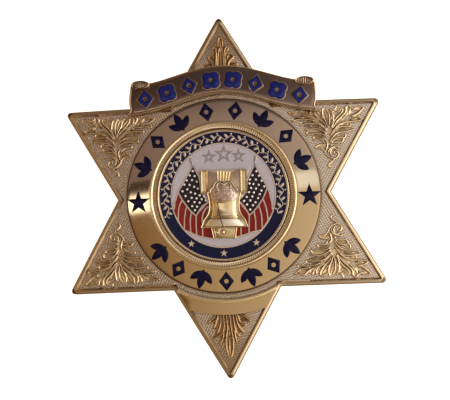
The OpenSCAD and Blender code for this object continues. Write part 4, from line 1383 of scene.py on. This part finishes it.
def makeTracery():
    middle, top, waves = seal["middle"], seal["top"], seal["waves"]
    start, end = seal["vine"]
    span = end - start

    def line(t):
        return onCircle(middle + seal["sway"] * math.sin(2 * math.pi * waves * t),
                        start + span * t)

    parts = [thicken(layStrip(line, lambda t: seal["width"],
                              lambda a, t: top - 0.02 + 0.12 * halfRound(a), 480, 4),
                     top - 0.06)]
    blade = smoothPrism(lensPoints(*seal["leaf"], 8), top - 0.05, top + 0.07, 0.04)
    (leafX, leafY), (berryX, berryY) = seal["leafPlace"], seal["berryPlace"]
    for k in range(2 * waves):
        side = -1 if k % 2 else 1
        twin = copyOf(blade)
        twin.data.transform(placed(leafX, side * leafY, side * seal["leafLean"] - 90))
        berry = ball(seal["berry"], (berryX, side * berryY, top - 0.06), 12, 8)
        for part in (twin, berry):
            parts.append(turned(part, start + span * (k + 0.5) / (2 * waves) - 90,
                                (0, middle, 0)))
    bpy.data.objects.remove(blade)
    finishPiece("seal_tracery", joinAll(parts), golds["fineGold"])


def makeDots():
    dot = ball(seal["dot"], (0, 0, 0), 16, 8)
    dot.scale = (1, 1, seal["dotHigh"] / seal["dot"])
    freeze(dot)
    dots = []
    for x, y in seal["dots"]:
        dots.append(copyOf(dot))
        dots[-1].data.transform(placed(x + seal["shift"], y, 0, seal["top"]))
    bpy.data.objects.remove(dot)
    finishPiece("flag_dots", joinAll(dots), enamels["dotWhite"])


def makeFinials():
    top, (radius, rise) = seal["top"], seal["knob"]
    parts = []
    for (x, y), lean in seal["finials"]:
        pole = placed(x + seal["shift"], y, lean)
        for length, width, up in seal["blades"]:
            blade = prism(lensPoints(length, width, 8), top - 0.04, top + 0.12)
            blade.data.transform(pole @ placed(0, up))
            parts.append(soften(blade, 0.05))
        parts.append(ball(radius, pole @ Vector((0, rise, top))))
    finishPiece("flag_finials", joinAll(parts), golds["fineGold"])


makeTracery()
makeDots()
makeFinials()


# Pieces that keep the shape of their solids

for name, material in (("seal_disc", golds["fineGold"]),
                       ("seal_blue_enamel", enamels["sealBlue"]),
                       ("seal_white_enamel", enamels["sealWhite"]),
                       ("seal_red_enamel", enamels["sealRed"]),
                       ("pin_back", golds["backGold"])):
    for slot in nodes[name].material_slots:
        slot.material = material


# View, light and floor

# The room as the badge mirrors it
studio = {
    # Tones from left to right, each (place across the ramp, colour)
    "lowTones": [(0.0, (0.12, 0.07, 0.035)), (0.24, (0.24, 0.145, 0.075)),
                 (0.41, (0.46, 0.36, 0.25)), (0.59, (0.62, 0.53, 0.45)),
                 (0.8, (0.95, 0.9, 0.85))],
    "highTones": [(0.0, (0.1, 0.07, 0.07)), (0.3, (0.25, 0.19, 0.21)),
                  (0.5, (0.34, 0.29, 0.34)), (0.8, (0.75, 0.7, 0.72))],
    "sideTones": [(0.0, (0.46, 0.29, 0.15)), (0.4, (0.5, 0.37, 0.25)),
                  (0.6, (1.0, 0.92, 0.81)), (0.78, (2.15, 2.03, 1.86)),
                  (1.0, (3.3, 3.15, 2.9))],
    # Heights between which the low tones turn into the high ones, and distances from
    # straight up between which both turn into the side's
    "highFrom": (0.11, 0.14), "sideFrom": (0.45, 0.7),
    # A bright slanting band, its tone at the left and at the right
    "bandAt": 0.12, "bandHalf": 0.021, "bandSlant": 0.108, "bandTurn": (-0.25, 0.15),
    "bandLeft": (2.0, 1.95, 1.9, 1), "bandRight": (0.82, 0.88, 1.05, 1),
    # A dim stripe above the band on the left: height over the band, half height, tone
    "stripeRise": 0.033, "stripeHalf": 0.013, "stripeTone": (0.05, 0.03, 0.02, 1),
    # (from, to, factor at each): where the stripe ends, the top darkens, the room darkens
    # below, the table's front is lighter, and its back is darker
    "stripeEnd": (-0.2, -0.1, 1.0, 0.0), "highDim": (0.24, 0.32, 1.0, 0.35),
    "footDim": (-0.22, -0.12, 0.45, 1.0), "frontLift": (-0.8, -0.3, 0.75, 1.0),
    "backDim": (0.25, 0.5, 1.0, 0.5),
    "strength": 1.0, "floorSize": 3.0, "floorTone": (0.9, 0.9, 0.9, 1), "floorRough": 0.9,
    "floorGlow": 0.8,
}


def makeCamera():
    bpy.ops.object.camera_add()
    camera = bpy.context.object
    camera.location = [part * millimetre for part in viewpoint["place"]]
    camera.rotation_euler = [math.radians(part) for part in viewpoint["turn"]]
    camera.data.lens = viewpoint["lens"]
    camera.data.sensor_width = viewpoint["sensor"]
    camera.data.clip_start = viewpoint["nearest"]
    bpy.context.scene.camera = camera


def makeFloor():
    bpy.ops.mesh.primitive_plane_add(size=studio["floorSize"])
    floor = bpy.context.object
    floor.name = "floor"
    material, tree, shader = newMaterial("floorPaper")
    shader["Base Color"].default_value = studio["floorTone"]
    shader["Roughness"].default_value = studio["floorRough"]
    shader["Emission Color"].default_value = (1, 1, 1, 1)
    shader["Emission Strength"].default_value = studio["floorGlow"]
    dress(floor, material)


def toneRamp(tree, factor, stops):
    ramp = addNode(tree, "ShaderNodeValToRGB", {"Fac": factor})
    elements = ramp.color_ramp.elements
    while len(elements) < len(stops):
        elements.new(0.5)
    for element, (place, _) in zip(elements, stops):
        element.position = place
    for element, (_, colour) in zip(elements, stops):
        element.color = (*colour, 1)
    return ramp.outputs[0]


def stripeMask(tree, away, half):
    # 1 within a stripe, soft in the outer two fifths of its half height
    return rangeNode(tree, mathNode(tree, "ABSOLUTE", away), 0.6 * half, half, 1.0, 0.0)


def dimmed(tree, colour, value, name):
    return blendColour(tree, 1.0, colour, rangeNode(tree, value, *studio[name]), "MULTIPLY")


def makeWorld():
    world = bpy.data.worlds.new("studio")
    bpy.context.scene.world = world
    world.use_nodes = True
    tree = world.node_tree
    toward = addNode(tree, "ShaderNodeTexCoord").outputs["Generated"]
    x, y, _ = partsOf(tree, toward)
    across = plus(tree, x, 0.5)
    low = toneRamp(tree, across, studio["lowTones"])
    high = dimmed(tree, toneRamp(tree, across, studio["highTones"]), y, "highDim")
    tilt = minus(tree, y, times(tree, x, studio["bandSlant"]))
    near = blendColour(tree, rangeNode(tree, tilt, *studio["highFrom"]), low, high)
    over = minus(tree, tilt, studio["bandAt"])
    stripe = times(tree, stripeMask(tree, minus(tree, over, studio["stripeRise"]),
                                    studio["stripeHalf"]),
                   rangeNode(tree, x, *studio["stripeEnd"]))
    near = blendColour(tree, stripe, near, studio["stripeTone"])
    bandTone = blendColour(tree, rangeNode(tree, x, *studio["bandTurn"]),
                           studio["bandLeft"], studio["bandRight"])
    near = blendColour(tree, stripeMask(tree, over, studio["bandHalf"]), near, bandTone)
    near = dimmed(tree, near, y, "footDim")
    side = toneRamp(tree, plus(tree, times(tree, x, 0.5), 0.5), studio["sideTones"])
    side = dimmed(tree, dimmed(tree, side, y, "frontLift"), y, "backDim")
    aside = rangeNode(tree, axisDistance(tree, toward), *studio["sideFrom"])
    background = tree.nodes["Background"].inputs
    tree.links.new(blendColour(tree, aside, near, side), background["Color"])
    background["Strength"].default_value = studio["strength"]


makeCamera()
makeFloor()
makeWorld()
bpy.context.scene.view_settings.view_transform = "Standard"
print("view, light and floor ready")
